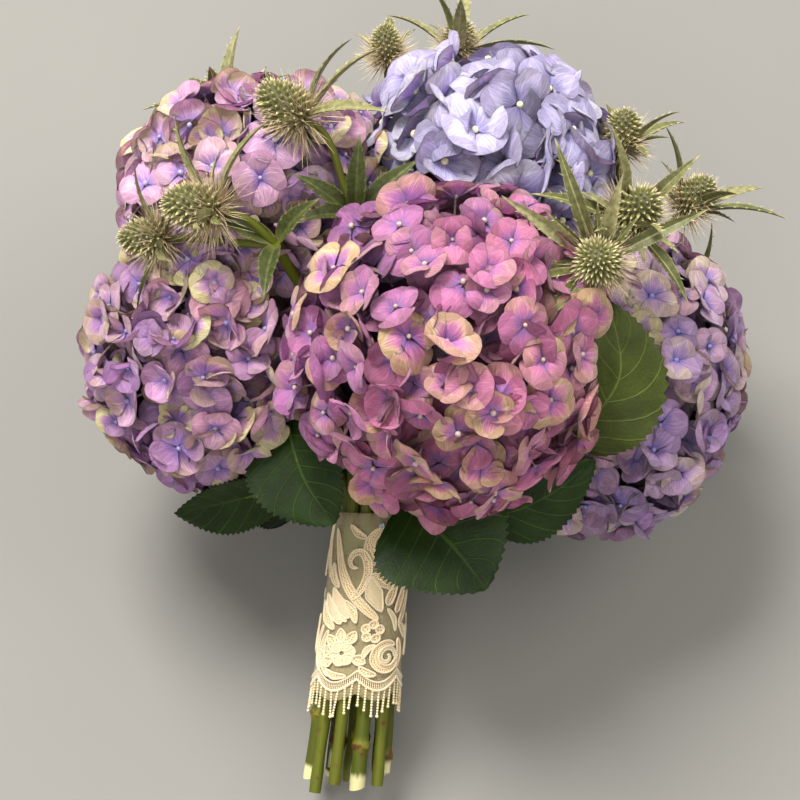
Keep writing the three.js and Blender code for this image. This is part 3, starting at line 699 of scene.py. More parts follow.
def sepal_material(name, head):
    """Fresh hydrangea sepals: matt, silky tissue that light shines through, with fine veins, a deeper throat,
    a cream rim and painted shade towards the edge."""
    made = Finish(
        name, Roughness=0.52, Sheen_Weight=0.25, Sheen_Roughness=0.4, Subsurface_Weight=0.85,
        Subsurface_Scale=0.002, Subsurface_Radius=(1.0, 0.75, 0.95), Specular_IOR_Level=0.35,
    )
    add = made.add
    across, along, blush, cream, light, chance, place = made.charted()
    # 32 veins and furrows across a sepal, and other ones on each
    fan = [add("MULTIPLY", value, times) for value, times in ((across, 32.0), (along, 1.2), (chance, 50.0))]
    vein = add("TexNoise", Vector=add("CombineXYZ", *fan), Scale=1.0, Detail=3.0, Roughness=0.6)
    # Blotches 9 mm wide
    cloud = add("TexNoise", Vector=place, Scale=1 / (9.09 * MM), Detail=3.0)
    wander = add("MULTIPLY_ADD", vein, 0.5, -0.25)
    inner = add("MapRange", add("ADD", along, wander), 0.02, 0.48, **SOFT)
    colour = add("Mix", inner, head.throat, add("Mix", blush, head.body, head.blush, **COLOURS), **COLOURS)
    # How far out a place lies: more at the sides, and more on one side than on the other
    side = add("SUBTRACT", across, 0.5)
    spread = add("MULTIPLY_ADD", add("POWER", side, 2.0), 11.1, 1.0)
    lopsided = add("MULTIPLY", add("SUBTRACT", chance, 0.5), side)
    outer = add("MULTIPLY_ADD", lopsided, 1.6, add("MULTIPLY", along, spread))
    outer = add("MULTIPLY_ADD", add("SUBTRACT", cloud, 0.5), 0.6, outer)
    outer = add("MULTIPLY_ADD", wander, 0.8, outer)
    for tone, start, stop, least, most, strength in (
        (head.rim, 0.38, 1.08, 0.12, 0.8, 0.9), (head.pale, 0.55, 1.12, 0.62, 1.0, 0.85),
    ):
        reach = add("MapRange", outer, start, stop, **SOFT)
        share = add("MapRange", cream, least, most, 0.0, strength, **SOFT)
        colour = add("Mix", add("MULTIPLY", reach, share, use_clamp=True), colour, tone, **COLOURS)
    level = add("MULTIPLY_ADD", along, 2.0, -1.0)
    wide = add("MULTIPLY", add("MULTIPLY", side, along), 6.67)
    far = add("ADD", add("POWER", level, 2.0), add("POWER", wide, 2.0))
    # margin darkens each sepal towards its edge: painted shade
    margin = add("MapRange", far, 0.78, 1.0, 1.0, 0.74, **SOFT)
    thin = add("MapRange", add("ABSOLUTE", add("SUBTRACT", vein, 0.5)), 0.0, 0.05, 0.70, 1.0, **SOFT)
    streaks = add("MapRange", vein, 0.3, 0.7, 0.82, 1.14, **SOFT)
    blotches = add("MapRange", cloud, 0.3, 0.7, 0.84, 1.12, **SOFT)
    return made.ready(
        Base_Color=made.shaded(colour, light, streaks, thin, margin, blotches),
        Normal=add("Bump", Height=add("MULTIPLY", vein, thin), Distance=0.0006, Strength=0.8),
    )


def plant_material(name, root, tip, roughness=0.6, mottle_size=1.11, pale=0.0):
    """Plain plant tissue: matt, with fine mottling, of a size in mm, and another colour towards its tip."""
    made = Finish(name, Roughness=roughness)
    add = made.add
    _, along, _, _, light, _, place = made.charted()
    mottle = add("TexNoise", Vector=place, Scale=1 / (mottle_size * MM), Detail=3.0)
    share = add("MapRange", add("MULTIPLY_ADD", mottle, 0.2, along), 0.3 + pale, 0.9, **SOFT)
    colour = add("Mix", share, root, tip, **COLOURS)
    return made.ready(
        Base_Color=made.shaded(colour, light, add("MapRange", mottle, 0.3, 0.7, 0.8, 1.15, **SOFT)),
        Normal=add("Bump", Height=mottle, Distance=0.0002, Strength=0.6),
    )


def leaf_material(name, blade, veins, under):
    """A mature hydrangea leaf: leathery, satin on top, with sunken pale veins and a fine net between them."""
    made = Finish(
        name, Roughness=0.5, Specular_IOR_Level=0.2, Subsurface_Weight=0.05, Subsurface_Scale=0.001,
    )
    add = made.add
    across, along, _, _, light, below, place = made.charted()
    side = add("ABSOLUTE", add("MULTIPLY_ADD", across, 2.0, -1.0))
    course = add("MULTIPLY_ADD", side, -VEIN_SLANT, add("MULTIPLY", along, float(VEINS)))
    near = add("ABSOLUTE", add("SUBTRACT", add("FRACT", add("ADD", course, 0.5)), 0.5))
    lateral = add("MapRange", near, 0.01, 0.06, 1.0, 0.0, **SOFT)
    midrib = add("MapRange", side, 0.008, 0.045, 1.0, 0.0, **SOFT)
    # Meshes 2.4 mm wide, and blotches of 14 mm
    cells = add("TexVoronoi", Vector=place, Scale=1 / (2.38 * MM), feature="DISTANCE_TO_EDGE")
    mottle = add("TexNoise", Vector=place, Scale=1 / (14.3 * MM), Detail=4.0)
    net = add("MapRange", cells, 0.0, 0.14, 1.0, 0.0, **SOFT)
    main = add("MAXIMUM", lateral, midrib)
    lines = add("MAXIMUM", add("MULTIPLY", main, 0.5), add("MULTIPLY", net, 0.07))
    colour = add("Mix", lines, add("Mix", below, blade, under, **COLOURS), veins, **COLOURS)
    sunken = add("MULTIPLY", add("MAXIMUM", main, add("MULTIPLY", net, 0.2)), -1.0)
    return made.ready(
        Base_Color=made.shaded(colour, light, add("MapRange", mottle, 0.3, 0.7, 0.72, 1.25, **SOFT)),
        Normal=add("Bump", Height=sunken, Distance=0.0006, Strength=0.6),
    )


def stem_material(name):
    """Green woody stalk with its bark on: satin, streaked along, rusty at its nodes, pale where it is cut."""
    made = Finish(name, Roughness=0.5, Specular_IOR_Level=0.22)
    add = made.add
    around, along, olive, rust, light, cut, place = made.charted()
    # Nine streaks round it, 17 mm long, and spots of 7 mm
    streak = add("CombineXYZ", add("MULTIPLY", around, 9.0), add("MULTIPLY", along, 1 / (16.67 * MM)), olive)
    bark = add("TexNoise", Vector=streak, Scale=1.0, Detail=4.0)
    spots = add("TexNoise", Vector=place, Scale=1 / (6.67 * MM), Detail=4.0)
    spotted = add("MULTIPLY_ADD", rust, 0.26, spots)
    scraped = add("MULTIPLY_ADD", bark, 0.5, cut)
    colour = add("Mix", olive, "#4c6204", "#3c3418", **COLOURS)
    for share, tone in (
        (add("MapRange", bark, 0.35, 0.7, 0.0, 0.4, **SOFT), "#545a0c"),
        (add("MULTIPLY", rust, 0.5), "#98902e"),
        (add("MapRange", spotted, 0.68, 0.80, **SOFT), "#5a3a1c"),
        (add("MapRange", scraped, 0.6, 0.85, **SOFT), "#d6d19a"),
    ):
        colour = add("Mix", share, colour, tone, **COLOURS)
    return made.ready(
        Base_Color=made.shaded(colour, light), Normal=add("Bump", Height=bark, Distance=0.0005, Strength=0.8),
    )


def bract_material(name, green, pale, ribbed):
    """A dry, spiny eryngium bract: leathery green with a pale rib, pale margins and pale spines."""
    made = Finish(name, Roughness=0.5, Specular_IOR_Level=0.35)
    add = made.add
    across, along, _, whole, light, _, place = made.charted()
    side = add("ABSOLUTE", add("MULTIPLY_ADD", across, 2.0, -1.0))
    rib = add("MapRange", side, 0.02, 0.2, ribbed, 0.0, **SOFT)
    share = add("MAXIMUM", rib, whole)
    for where, start, stop, least, most in (
        (side, 0.85, 1.0, 0.0, 0.6), (along, 0.88, 1.0, 0.0, 0.9), (along, 0.0, 0.25, 0.6, 0.0),
    ):
        share = add("MAXIMUM", share, add("MapRange", where, start, stop, least, most, **SOFT))
    # Mottling of 2.5 mm
    mottle = add("TexNoise", Vector=place, Scale=1 / (2.5 * MM), Detail=4.0)
    colour = add("Mix", share, green, pale, **COLOURS)
    return made.ready(
        Base_Color=made.shaded(colour, light, add("MapRange", mottle, 0.3, 0.7, 0.7, 1.25, **SOFT)),
        Normal=add("Bump", Height=add("MULTIPLY_ADD", mottle, 0.3, rib), Distance=0.0004, Strength=0.8),
    )


def net_material(name, colour, cell, thread, haze):
    """Cotton tulle: soft matt thread in an open net, with what lies behind showing through its holes.
    cell and thread are measured on the piece's chart."""
    made = Finish(name, Roughness=0.85, Sheen_Weight=0.3, Base_Color=colour)
    cells = made.add(
        "TexVoronoi", Vector=made.add("UVMap", uv_map="chart"), Scale=1 / cell, Randomness=0.55,
        feature="DISTANCE_TO_EDGE", voronoi_dimensions="2D",
    )
    half = 0.4 * thread / cell
    return made.ready(Alpha=made.add("MapRange", cells, half, 2 * half, 1.0, haze, **SOFT))


def thread_material(name, colour, pitch, slant=0.6):
    """Cotton stitched lace: matt, with the ridges of its threads lying side by side, a pitch apart, and
    painted shade in the grooves between them.
    """
    made = Finish(name, Roughness=0.8, Sheen_Weight=0.35, Subsurface_Weight=0.1, Subsurface_Scale=0.001)
    add = made.add
    across, along, _, _, light, _, place = made.charted()
    slanted = add("MULTIPLY", across, FULL_TURN * slant)
    ridge = add("SINE", add("MULTIPLY_ADD", along, FULL_TURN / pitch, slanted))
    # Fuzz of 0.7 mm, as coarse as it needs to show
    fuzz = add("TexNoise", Vector=place, Scale=1 / (0.714 * MM), Detail=2.0)
    # Darker in the grooves between the ridges: painted shade
    ridges = add("MapRange", ridge, -1.0, 0.3, 0.74, 1.04, **SOFT)
    return made.ready(
        Base_Color=made.shaded(colour, light, ridges, add("MapRange", fuzz, 0.3, 0.7, 0.9, 1.06, **SOFT)),
        Normal=add("Bump", Height=ridge, Distance=0.0002, Strength=0.7),
    )


def tape_material(name, dark, pale):
    """Waxed crepe paper: matt and finely wrinkled, in two greens."""
    made = Finish(name, Roughness=0.6)
    # Wrinkles of 0.7 mm
    place = made.add("TexCoord", out="Object")
    crepe = made.add("TexNoise", Vector=place, Scale=1 / (0.667 * MM), Detail=3.0)
    share = made.add("MapRange", crepe, 0.3, 0.7, **SOFT)
    return made.ready(
        Base_Color=made.add("Mix", share, dark, pale, **COLOURS),
        Normal=made.add("Bump", Height=crepe, Distance=0.0002, Strength=0.8),
    )


def floor_material(name, colour):
    """Matt painted board, a little uneven over 170 mm."""
    made = Finish(name, Roughness=0.75)
    place = made.add("TexCoord", out="Object")
    mottle = made.add("TexNoise", Vector=place, Scale=1 / (167 * MM), Detail=2.0)
    darker = (*(channel * 0.93 for channel in colour[:3]), 1.0)
    return made.ready(Base_Color=made.add("Mix", mottle, colour, darker, **COLOURS))


def length_setting(name, description, default):
    """A length that a user may change."""
    return bpy.props.FloatProperty(
        name=name, description=description, default=default, subtype="DISTANCE", unit="LENGTH",
    )


def count_setting(name, description, default, least):
    """A number of things that a user may change."""
    return bpy.props.IntProperty(name=name, description=description, default=default, min=least)


def power_setting(name, description, default):
    """The power of a light that a user may change."""
    return bpy.props.FloatProperty(
        name=name, description=description, default=default, subtype="POWER", unit="POWER",
    )


def colour_setting(name, description, default):
    """A colour that a user may change, from sRGB hex."""
    return bpy.props.FloatVectorProperty(
        name=name, description=description, default=linear(default), subtype="COLOR", size=4,
    )


class BloomSettings(bpy.types.PropertyGroup):
    """Sizes of the hydrangea heads."""

    bead_radius: length_setting("Bead Radius", "Radius of the small bead in a floret's middle", 0.0013)


class EryngiumSettings(bpy.types.PropertyGroup):
    """Sizes of the eryngium sprays."""

    cone_radius: length_setting("Cone Radius", "Of a full-sized cone, without its flowers", 0.0090)
    cone_height: length_setting("Cone Height", "Of a full-sized cone", 0.027)
    flowers: count_setting("Flowers", "Small flowers on a cone", 160, 20)
    hairs: count_setting("Hairs", "Silky hairs below a cone", 480, 0)
    bract_width: length_setting("Bract Width", "Of the bracts under a cone", 0.0070)
    whorl_width: length_setting("Whorl Leaf Width", "Of the leaves where a stem forks", 0.0098)


class LaceSettings(bpy.types.PropertyGroup):
    """Sizes and colour of the lace sleeve."""

    cord_colour: colour_setting("Cord Colour", "Ivory cotton of the cords round the motifs", "#f0dcb6")
    net_cell: length_setting("Net Cell", "Width of one hole of the net", 0.000151)
    net_thread: length_setting("Net Thread", "Thickness of the net's thread", 0.0000164)
    cord_radius: length_setting("Cord Radius", "Of the raised cord round each motif", 0.0005)
    bead_radius: length_setting("Seed Bead Radius", "Of the beads of the fringe", 0.00070)
    strands: count_setting("Strands", "Strands of the fringe", 40, 6)


class StageSettings(bpy.types.PropertyGroup):
    """Floor and light."""

    floor_colour: colour_setting("Floor Colour", "Plain pale floor", "#7e7d78")
    key_power: power_setting("Key Power", "Of the large soft light", 172.0)
    fill_power: power_setting("Fill Power", "Of the two lights from the other sides", 24.0)


def finished(obj, slot, *nodes):
    """Fixes a piece to the bouquet's one body and hides the solids that it stands for. slot, its finish, is
    not used.
    """
    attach(obj, "root")
    if nodes:
        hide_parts(*nodes)
    return obj


def sphere_directions(number, start=0.0):
    """Evenly spread directions."""
    step = np.arange(number)
    height = 1 - (2 * step + 1) / number
    girth = np.sqrt(1 - height**2)
    angle = GOLDEN_ANGLE * step + start
    return np.stack([girth * np.cos(angle), height, girth * np.sin(angle)], axis=1)


def measures(head):
    """A head's centre and radii in metres."""
    return np.array(head.at) * MM, np.array(head.radii) * MM


def walls_of(name):
    """The planes where a head meets the others, as unit normals and offsets."""
    centre, radii = measures(HEADS[name])
    walls = []
    for other in (head for other_name, head in HEADS.items() if other_name != name):
        other_centre, other_radii = measures(other)
        distance = np.linalg.norm(other_centre - centre)
        normal = (other_centre - centre) / distance
        own = 1 / np.linalg.norm(normal / radii)
        theirs = 1 / np.linalg.norm(normal / other_radii)
        walls.append((normal, normal @ centre + (distance + own - theirs) / 2 - CLEAR))
    return walls


def held_back(points, walls, margin):
    """Points moved back to a margin beyond the walls where they pass it."""
    for normal, offset in walls:
        beyond = np.maximum(points @ normal - offset - margin, 0)
        points = points - beyond[..., None] * normal
    return points


def drawn_in(points, centre, radii):
    """Points beyond a head's surface brought nearer to it, so that its outline stays round."""
    away = points - centre
    reach = np.maximum(np.linalg.norm(away / radii, axis=-1, keepdims=True), 1e-6)
    return centre + away * np.where(reach > 1, 1 + 0.75 * (reach - 1), reach) / reach


def leaf_places():
    """Points all over the leaf blades, the cones and the whorls, which the florets leave room for."""
    places = []
    for _, _, width, facing, rib in LEAVES.values():
        line, ahead = curve_through(np.array(rib) * MM, 24)
        outline = leaf_outline(np.linspace(0.01, 0.99, 24))[:, None]
        half = unit(np.cross(facing, ahead)) * width / 2 * MM * outline
        places.extend(line + share * half for share in (-0.75, -0.4, 0, 0.4, 0.75))
    angle = np.radians(np.arange(0, 360, 60))
    circle = stacked(6, np.cos(angle), np.sin(angle), 0.6) * 9 * MM
    for (*_, way), whorl, heads in SPRAYS.values():
        if whorl:
            places.append(np.array(way[-1]) * MM + circle @ basis([whorl[2]], 0)[0].T)
        for at, axis, _, _, scale, _ in heads:
            places.append((np.array(at) + np.outer([0.1, 0.5, 0.9], unit(axis)) * 27 * scale) * MM)
    points = np.concatenate(places)
    tree = KDTree(len(points))
    for number, point in enumerate(points):
        tree.insert(point, number)
    tree.balance()
    return tree


# Half width, lift of the tip, dome, ruffle and its phase, against the sepal's length
SEPAL_FORMS = [
    (0.64, 0.02, 0.11, 0.060, 0.0),
    (0.69, 0.05, 0.18, 0.045, 2.1),
    (0.62, 0.12, -0.12, 0.070, 4.2),
    (0.66, 0.20, -0.20, 0.045, 1.0),
    (0.60, -0.06, 0.07, 0.085, 3.3),
    (0.67, -0.12, 0.16, 0.065, 5.0),
]
# Neighbouring florets lie in different layers: how many there are, the lowest, and how far they are apart,
# against the head's radius
LAYERS = 8
LOWEST_LAYER = 0.95
LAYER_STEP = 0.010
# Rings of florets, from the outside in: seat against the head's radius, spacing and length against the
# sepal's, brightness, which is painted shade that makes the deeper rings darker, how far from a leaf or cone
# they keep, and whether they are finely modelled
RINGS = [
    (0.93, 1.37, 1.0, 0.50, 0.009, True),
    (0.84, 1.45, 1.0, 0.36, 0.007, False),
    (0.75, 1.7, 1.05, 0.24, 0.006, False),
]
# Area that each floret takes against its spacing squared, and the angle round the stem that they leave open
PACKING = 0.866
STEM_OPENING = 0.40
# Scatter of the florets' directions, depths and facing, and of their blush and cream
DIRECTION_SCATTER = 0.07
DEPTH_SCATTER = 0.012
FACING_SCATTER = 0.46
BLUSH_SCATTER = 0.28
CREAM_SCATTER = 0.30
# How far florets open in degrees: mean, scatter, least and most
OPENING = (10, 17, -18, 50)
# How far past the walls between heads a floret's throat and its sepals may lie
THROAT_MARGIN = 0.006
SEPAL_MARGIN = 0.014
# Where the stalks of the florets end and how large the core is, against the head's radius
STALK_ROOT = 0.7
CORE_SIZE = 0.72
STALK_RADIUS = 0.0008
# How far a floret's second pair of sepals lies above the first, against their length
PAIR_LIFT = 0.055
# Sepals longer than this, in mm, have larger beads
LARGE_SEPAL = 18


class BOUQUET_OT_blooms(bpy.types.Operator):
    """Covers each hydrangea head with florets of four sepals round a bead"""

    bl_idname = "bouquet.blooms"
    bl_label = "Hydrangea Heads"

    def execute(self, context):
        self.settings = context.scene.bouquet_blooms
        self.sepals = {
            True: [model_sepal(*form) for form in SEPAL_FORMS],
            False: [model_sepal(*form, columns=3, rows=4) for form in SEPAL_FORMS],
        }
        self.bead = model_bead()
        self.stalk = model_spike(4, tip=0.5)
        self.core = model_bead(24, 16)
        room = leaf_places()
        for index, name in enumerate(HEADS):
            self.bloom(name, index, room)
        return {"FINISHED"}

    def bloom(self, name, index, room):
        head = HEADS[name]
        random = np.random.default_rng(100 + index)
        centre, radii = measures(head)
        walls = walls_of(name)
        _, ahead = stem_line(*STEMS[name])
        heap = Heap()
        area = 4 * math.pi * np.mean(radii) ** 2
        # light is the ring's brightness: painted shade that darkens the deeper rings
        for seat, spread, size, light, keep, fine in RINGS:
            number = int(area * seat**2 / ((head.sepal * MM * spread) ** 2 * PACKING))
            outward = sphere_directions(number, index + seat * 9)
            outward = unit(outward + DIRECTION_SCATTER * random.normal(size=outward.shape))
            rise = LAYER_STEP * (np.arange(number) % LAYERS)[:, None]
            depth = seat + rise - LAYER_STEP * (LAYERS - 1) / 2
            depth = depth + DEPTH_SCATTER * random.normal(size=(number, 1))
            throat = centre + outward * radii * depth
            chosen = outward @ -ahead[-1] < math.cos(STEM_OPENING)
            for normal, offset in walls:
                chosen &= throat @ normal < offset + THROAT_MARGIN
            chosen &= np.array([room.find(point)[2] > keep for point in throat])
            reach = ((LOWEST_LAYER + rise) * radii)[chosen][:, None]
            self.florets(heap, head, random, outward[chosen], throat[chosen], reach, size, light, fine)
        # A dark core under the florets: its colour is painted shade in the gaps between them
        heap.add(self.core, centre + self.core.points * radii * CORE_SIZE, (0.5, 0.5, 0.5, 0), slot=3)
        heap.points = [held_back(points, walls, SEPAL_MARGIN) for points in heap.points]
        plain = name.replace("_", " ")
        # Silky sepals, a glossier bead, dull stalks, and a dark core deep inside, whose colour is painted
        # shade where hardly any light comes
        materials = [
            sepal_material(f"Hydrangea sepals, {plain}", head),
            plant_material(f"Hydrangea floret bead, {plain}", head.bead, head.bead, 0.4),
            plant_material(f"Hydrangea floret stalk, {plain}", "#8a6a78", "#a08494"),
            plant_material(f"Hydrangea head, deep inside, {plain}", "#3a2233", "#47293e", mottle_size=4.0),
        ]
        finished(heap.piece(f"hydrangea_{name}", materials), head.slot, f"bloom_{name}")

    def florets(self, heap, head, random, outward, throat, reach, size, light, fine):
        number = len(throat)
        centre, radii = measures(head)
        facing = unit(outward / radii)
        facing = unit(facing + FACING_SCATTER * random.normal(size=facing.shape))
        grown = head.sepal * MM * size * (0.85 + 0.3 * random.random(number))
        turn = random.random(number) * FULL_TURN
        frames = basis(facing, turn)
        opening = np.radians(np.clip(random.normal(*OPENING[:2], number), *OPENING[2:]))
        form = random.integers(0, len(SEPAL_FORMS), number)
        drift = (throat - centre) @ np.array(head.blush_way)
        blush = np.clip(head.blush_share + drift + BLUSH_SCATTER * random.normal(size=number), 0, 1)
        cream = head.cream + CREAM_SCATTER * random.normal(size=number)
        # Each floret's brightness: painted shade from its ring, and a tone that differs at random
        depth_shade_and_tone = light * (0.88 + 0.24 * random.random(number))
        for place in range(4):
            odd = place % 2
            angle = place * math.pi / 2 + random.normal(0, 0.08, number)
            tilt = opening + np.radians(random.normal(0, 3.5, number)) + 0.07 * odd
            roll = random.normal(0, 0.12, number)
            long = grown * (0.86 + 0.24 * random.random(number)) * (1 - 0.07 * odd)
            shade = depth_shade_and_tone * (0.94 + 0.12 * random.random(number))
            edge = np.clip(cream + 0.22 * random.normal(size=number), 0, 1)
            tint = np.stack([blush, edge, shade, random.random(number)], axis=1)
            turned = frames @ np.array([
                Matrix.Rotation(a, 3, "Z") @ Matrix.Rotation(t, 3, "X") @ Matrix.Rotation(r, 3, "Y")
                for a, t, r in zip(angle, tilt, roll)
            ]).reshape(-1, 3, 3)
            for kind, sepal in enumerate(self.sepals[fine]):
                those = np.nonzero(form == kind)[0]
                shape = (sepal.points + [0, 0.05, PAIR_LIFT * odd]) * long[those, None, None]
                points = placed(shape, turned[those], throat[those])
                heap.add(sepal, drawn_in(points, centre, reach[those]), tint[those])
        if fine:
            radius = self.settings.bead_radius * (1.5 if head.sepal > LARGE_SEPAL else 1)
            swollen = radius * (0.8 + 0.4 * random.random((number, 1, 1)))
            middle = throat + facing * (PAIR_LIFT * head.sepal * MM + 0.4 * radius)
            beads = drawn_in(middle[:, None], centre, reach) + self.bead.points * swollen
            heap.add(self.bead, beads, stacked(number, blush, blush, 0.5, blush), slot=1)
        root = centre + outward * radii * STALK_ROOT
        drop = throat - root
        sizes = stacked(number, STALK_RADIUS, STALK_RADIUS, np.linalg.norm(drop, axis=1))[:, None]
        stalks = placed(self.stalk.points * sizes, basis(drop, turn), root)
        heap.add(self.stalk, stalks, (0.5, 0.5, 0.45, 0.5), slot=2)


def obstacle_tree(names):
    """The solids that a blade must clear, in one tree."""
    points, faces = [], []
    for name in names:
        mesh = frame["nodes"][name].data
        faces.extend(tuple(len(points) + corner for corner in face.vertices) for face in mesh.polygons)
        points.extend(tuple(vertex.co) for vertex in mesh.vertices)
    return BVHTree.FromPolygons(points, faces)


def clears(tree, points):
    """True if no point lies in or against a solid."""
    for point in lying(points):
        place, normal, _, distance = tree.find_nearest(Vector(point))
        if distance < 2 * CLEAR or (Vector(point) - place).dot(normal) < 0:
            return False
    return True


# How far a blade bends back at its tip, against its length, and how steeply its sides rise from its rib
RECURVE = 0.27
CHANNEL = 0.55


def blade_frame(foot, spoke, axis, slope, long, share):
    """Points along a blade's rib, and the directions that it runs and looks in."""
    along = unit(spoke + axis * slope)
    outward = unit(axis - spoke * slope)
    share = np.asarray(share)[:, None]
    return foot + along * long * share - outward * long * RECURVE * share**2.6, along, outward


# The finishes of a spray, by their place in its list
BRACT_SLOT, LEAF_SLOT, FLOWER_SLOT, CORE_SLOT, HAIR_SLOT, STALK_SLOT = range(6)
BRANCH_RADIUS = 0.0019
# Spines: where they stand along a blade and how long they are, against its length
SPINE_STATIONS = np.array([0.36, 0.5, 0.62, 0.74, 0.84])
SPINE_LENGTHS = {BRACT_SLOT: 0.052, LEAF_SLOT: 0.08}
SPINE_RADIUS = 0.0005
# Small flowers of a full-sized cone, and the length and thickness of the hairs among them and below it
FLOWER_RADIUS = 0.00135
FLOWER_LENGTH = 0.0042
SHORT_HAIR = (0.0052, 0.00020)
LONG_HAIR = (0.0160, 0.00028)


class BOUQUET_OT_eryngium(bpy.types.Operator):
    """Makes the eryngium sprays: spiny cones on rings of bracts, on forked stems with whorls of leaves"""

    bl_idname = "bouquet.eryngium"
    bl_label = "Eryngium Sprays"

    def execute(self, context):
        settings = context.scene.bouquet_eryngium
        self.blade = model_blade()
        self.spike = model_spike(3)
        self.flower = model_spike(6, foot=0.95, tip=0.5, height=0.5, point=0.5)
        self.core = model_bead(20, 14)
        # Leathery bracts and leaves, flowers and cone dull, hairs silky, stalks satin
        materials = [
            bract_material("Eryngium bract, dry and spiny", "#5a5e32", "#b4ac7e", 0.6),
            bract_material("Eryngium whorl leaf", "#3e4620", "#787a42", 0.35),
            plant_material("Eryngium flowers, green with pale points", "#6c6c36", "#ccc094", 0.6, pale=0.14),
            plant_material("Eryngium cone, inside", "#4a4a28", "#4a4a28", 0.7),
            plant_material("Eryngium silky hairs", "#8f7c5a", "#d2bf9c", 0.45),
            stem_material("Eryngium stalk"),
        ]
        solids = [f"leaf_{name}" for name in LEAVES] + [f"bloom_{name}" for name in HEADS]
        for index, (name, (stem, whorl, heads)) in enumerate(SPRAYS.items()):
            self.random = np.random.default_rng(300 + index)
            self.heap = Heap()
            self.tree = obstacle_tree(solids)
            draw = seeded(40 + stem[1])
            line, ahead = stem_line(*stem)
            self.stalks(line, ahead, heads)
            for at, axis, lift, long, scale, bracts in heads:
                axis = unit(axis)
                at = np.array(at) * MM
                foot = at + axis * MM
                inset = 0.00495 * scale
                width = settings.bract_width
                self.ring(draw, foot, axis, bracts, long * MM, lift, inset, width, BRACT_SLOT)
                again, foot = seeded(90 + stem[1]), foot + axis * MM
                short, narrow = long * MM * 0.5, width * 0.6
                self.ring(again, foot, axis, bracts - 1, short, lift + 0.35, inset, narrow, BRACT_SLOT)
                self.cone(settings, at, axis, scale)
            if whorl:
                number, long, axis = whorl
                width = settings.whorl_width
                self.ring(draw, line[-1], unit(axis), number, long * MM, 0.75, 1.5 * MM, width, LEAF_SLOT)
            finished(self.heap.piece(f"eryngium_spray_{name}", materials, 50), "eryngium", f"eryngium_{name}")
            solids.append(f"eryngium_{name}")
        return {"FINISHED"}

    def stalks(self, line, ahead, heads):
        tint = (0.3 + 0.3 * self.random.random(), 0.3, 0.45, 0)
        swell = 1 + 0.06 * np.sin(np.arange(len(line)) * 0.55)
        tube(self.heap, line, SPRAY_STEM_RADIUS * 0.92 * swell, 10, tint, STALK_SLOT)
        for at, axis, *_ in heads:
            at, axis = np.array(at) * MM, unit(axis)
            fork = line[-1] - ahead[-1] * 0.003
            branch, _ = curve_through([fork, at - axis * 0.010, at + axis * 0.004], 30)
            tube(self.heap, branch, BRANCH_RADIUS, 8, tint, STALK_SLOT)

    def ring(self, draw, middle, axis, number, long, lift, inset, width, slot):
        across = unit(np.cross([1, 0, 0], axis))
        upward = np.cross(axis, across)
        for place in range(number):
            angle = (place + 0.3 * (draw() - 0.5)) / number * FULL_TURN
            reach = long * (0.85 + 0.3 * draw())
            slope = lift + 0.25 * (draw() - 0.5)
            spoke = across * math.cos(angle) + upward * math.sin(angle)
            foot = middle + spoke * inset + axis * (place % 2) * 1.5 * MM
            # A blade that meets a solid is lifted until it clears it, or left out
            for _ in range(24):
                rib, _, outward = blade_frame(foot, spoke, axis, slope, reach, np.linspace(0.15, 1, 9))
                if clears(self.tree, np.concatenate([rib, rib - outward * 0.0011])):
                    while lying(blade_frame(foot, spoke, axis, slope, reach, [1.0])[0])[0, 2] > CAD_BOX[1].z:
                        reach *= 0.95
                    self.blade_at(foot, spoke, axis, slope, reach, width, slot)
                    break
                slope += 0.2

    def blade_at(self, foot, spoke, axis, slope, long, width, slot):
        rib, along, outward = blade_frame(foot, spoke, axis, slope, long, self.blade.points[:, 1])
        side = unit(np.cross(along, outward))
        across = self.blade.points[:, :1] * width
        height = self.blade.points[:, 2:] * long * 0.7 + CHANNEL * np.abs(across)
        light = 0.42 + 0.16 * ((foot[0] * 7919 + slope * 31) % 1)
        dry = 0 if slot == LEAF_SLOT else 0.55 * ((foot[1] * 6113 + slope * 17) % 1) ** 2
        self.heap.add(self.blade, rib + side * across + outward * height, (0.5, dry, light, 0.5), slot)
        middle, _, _ = blade_frame(foot, spoke, axis, slope, long, SPINE_STATIONS)
        half = 0.5 * width * np.interp(SPINE_STATIONS, BRACT_STATIONS, BRACT_WIDTHS)[:, None]
        spine = self.spike.points * [SPINE_RADIUS, SPINE_RADIUS, SPINE_LENGTHS[slot] * long]
        for sign in (-1, 1):
            start = middle + side * sign * half * 0.85 + outward * 0.5 * half
            frames = basis(np.tile(side * sign * 0.75 + along, (len(start), 1)), 0)
            self.heap.add(self.spike, placed(spine, frames, start), (0.5, 0.65, light, 0.5), slot)

    def cone(self, settings, at, axis, scale):
        random = self.random
        radius, height = settings.cone_radius * scale, settings.cone_height * scale
        turned = basis([axis], 0)[0].T

        def on_cone(directions, swell=0.0):
            shape = directions * [radius + swell, radius + swell, height / 2 + swell]
            shape[:, :2] *= 1 - 0.16 * directions[:, 2:]
            return shape @ turned + at + axis * height / 2

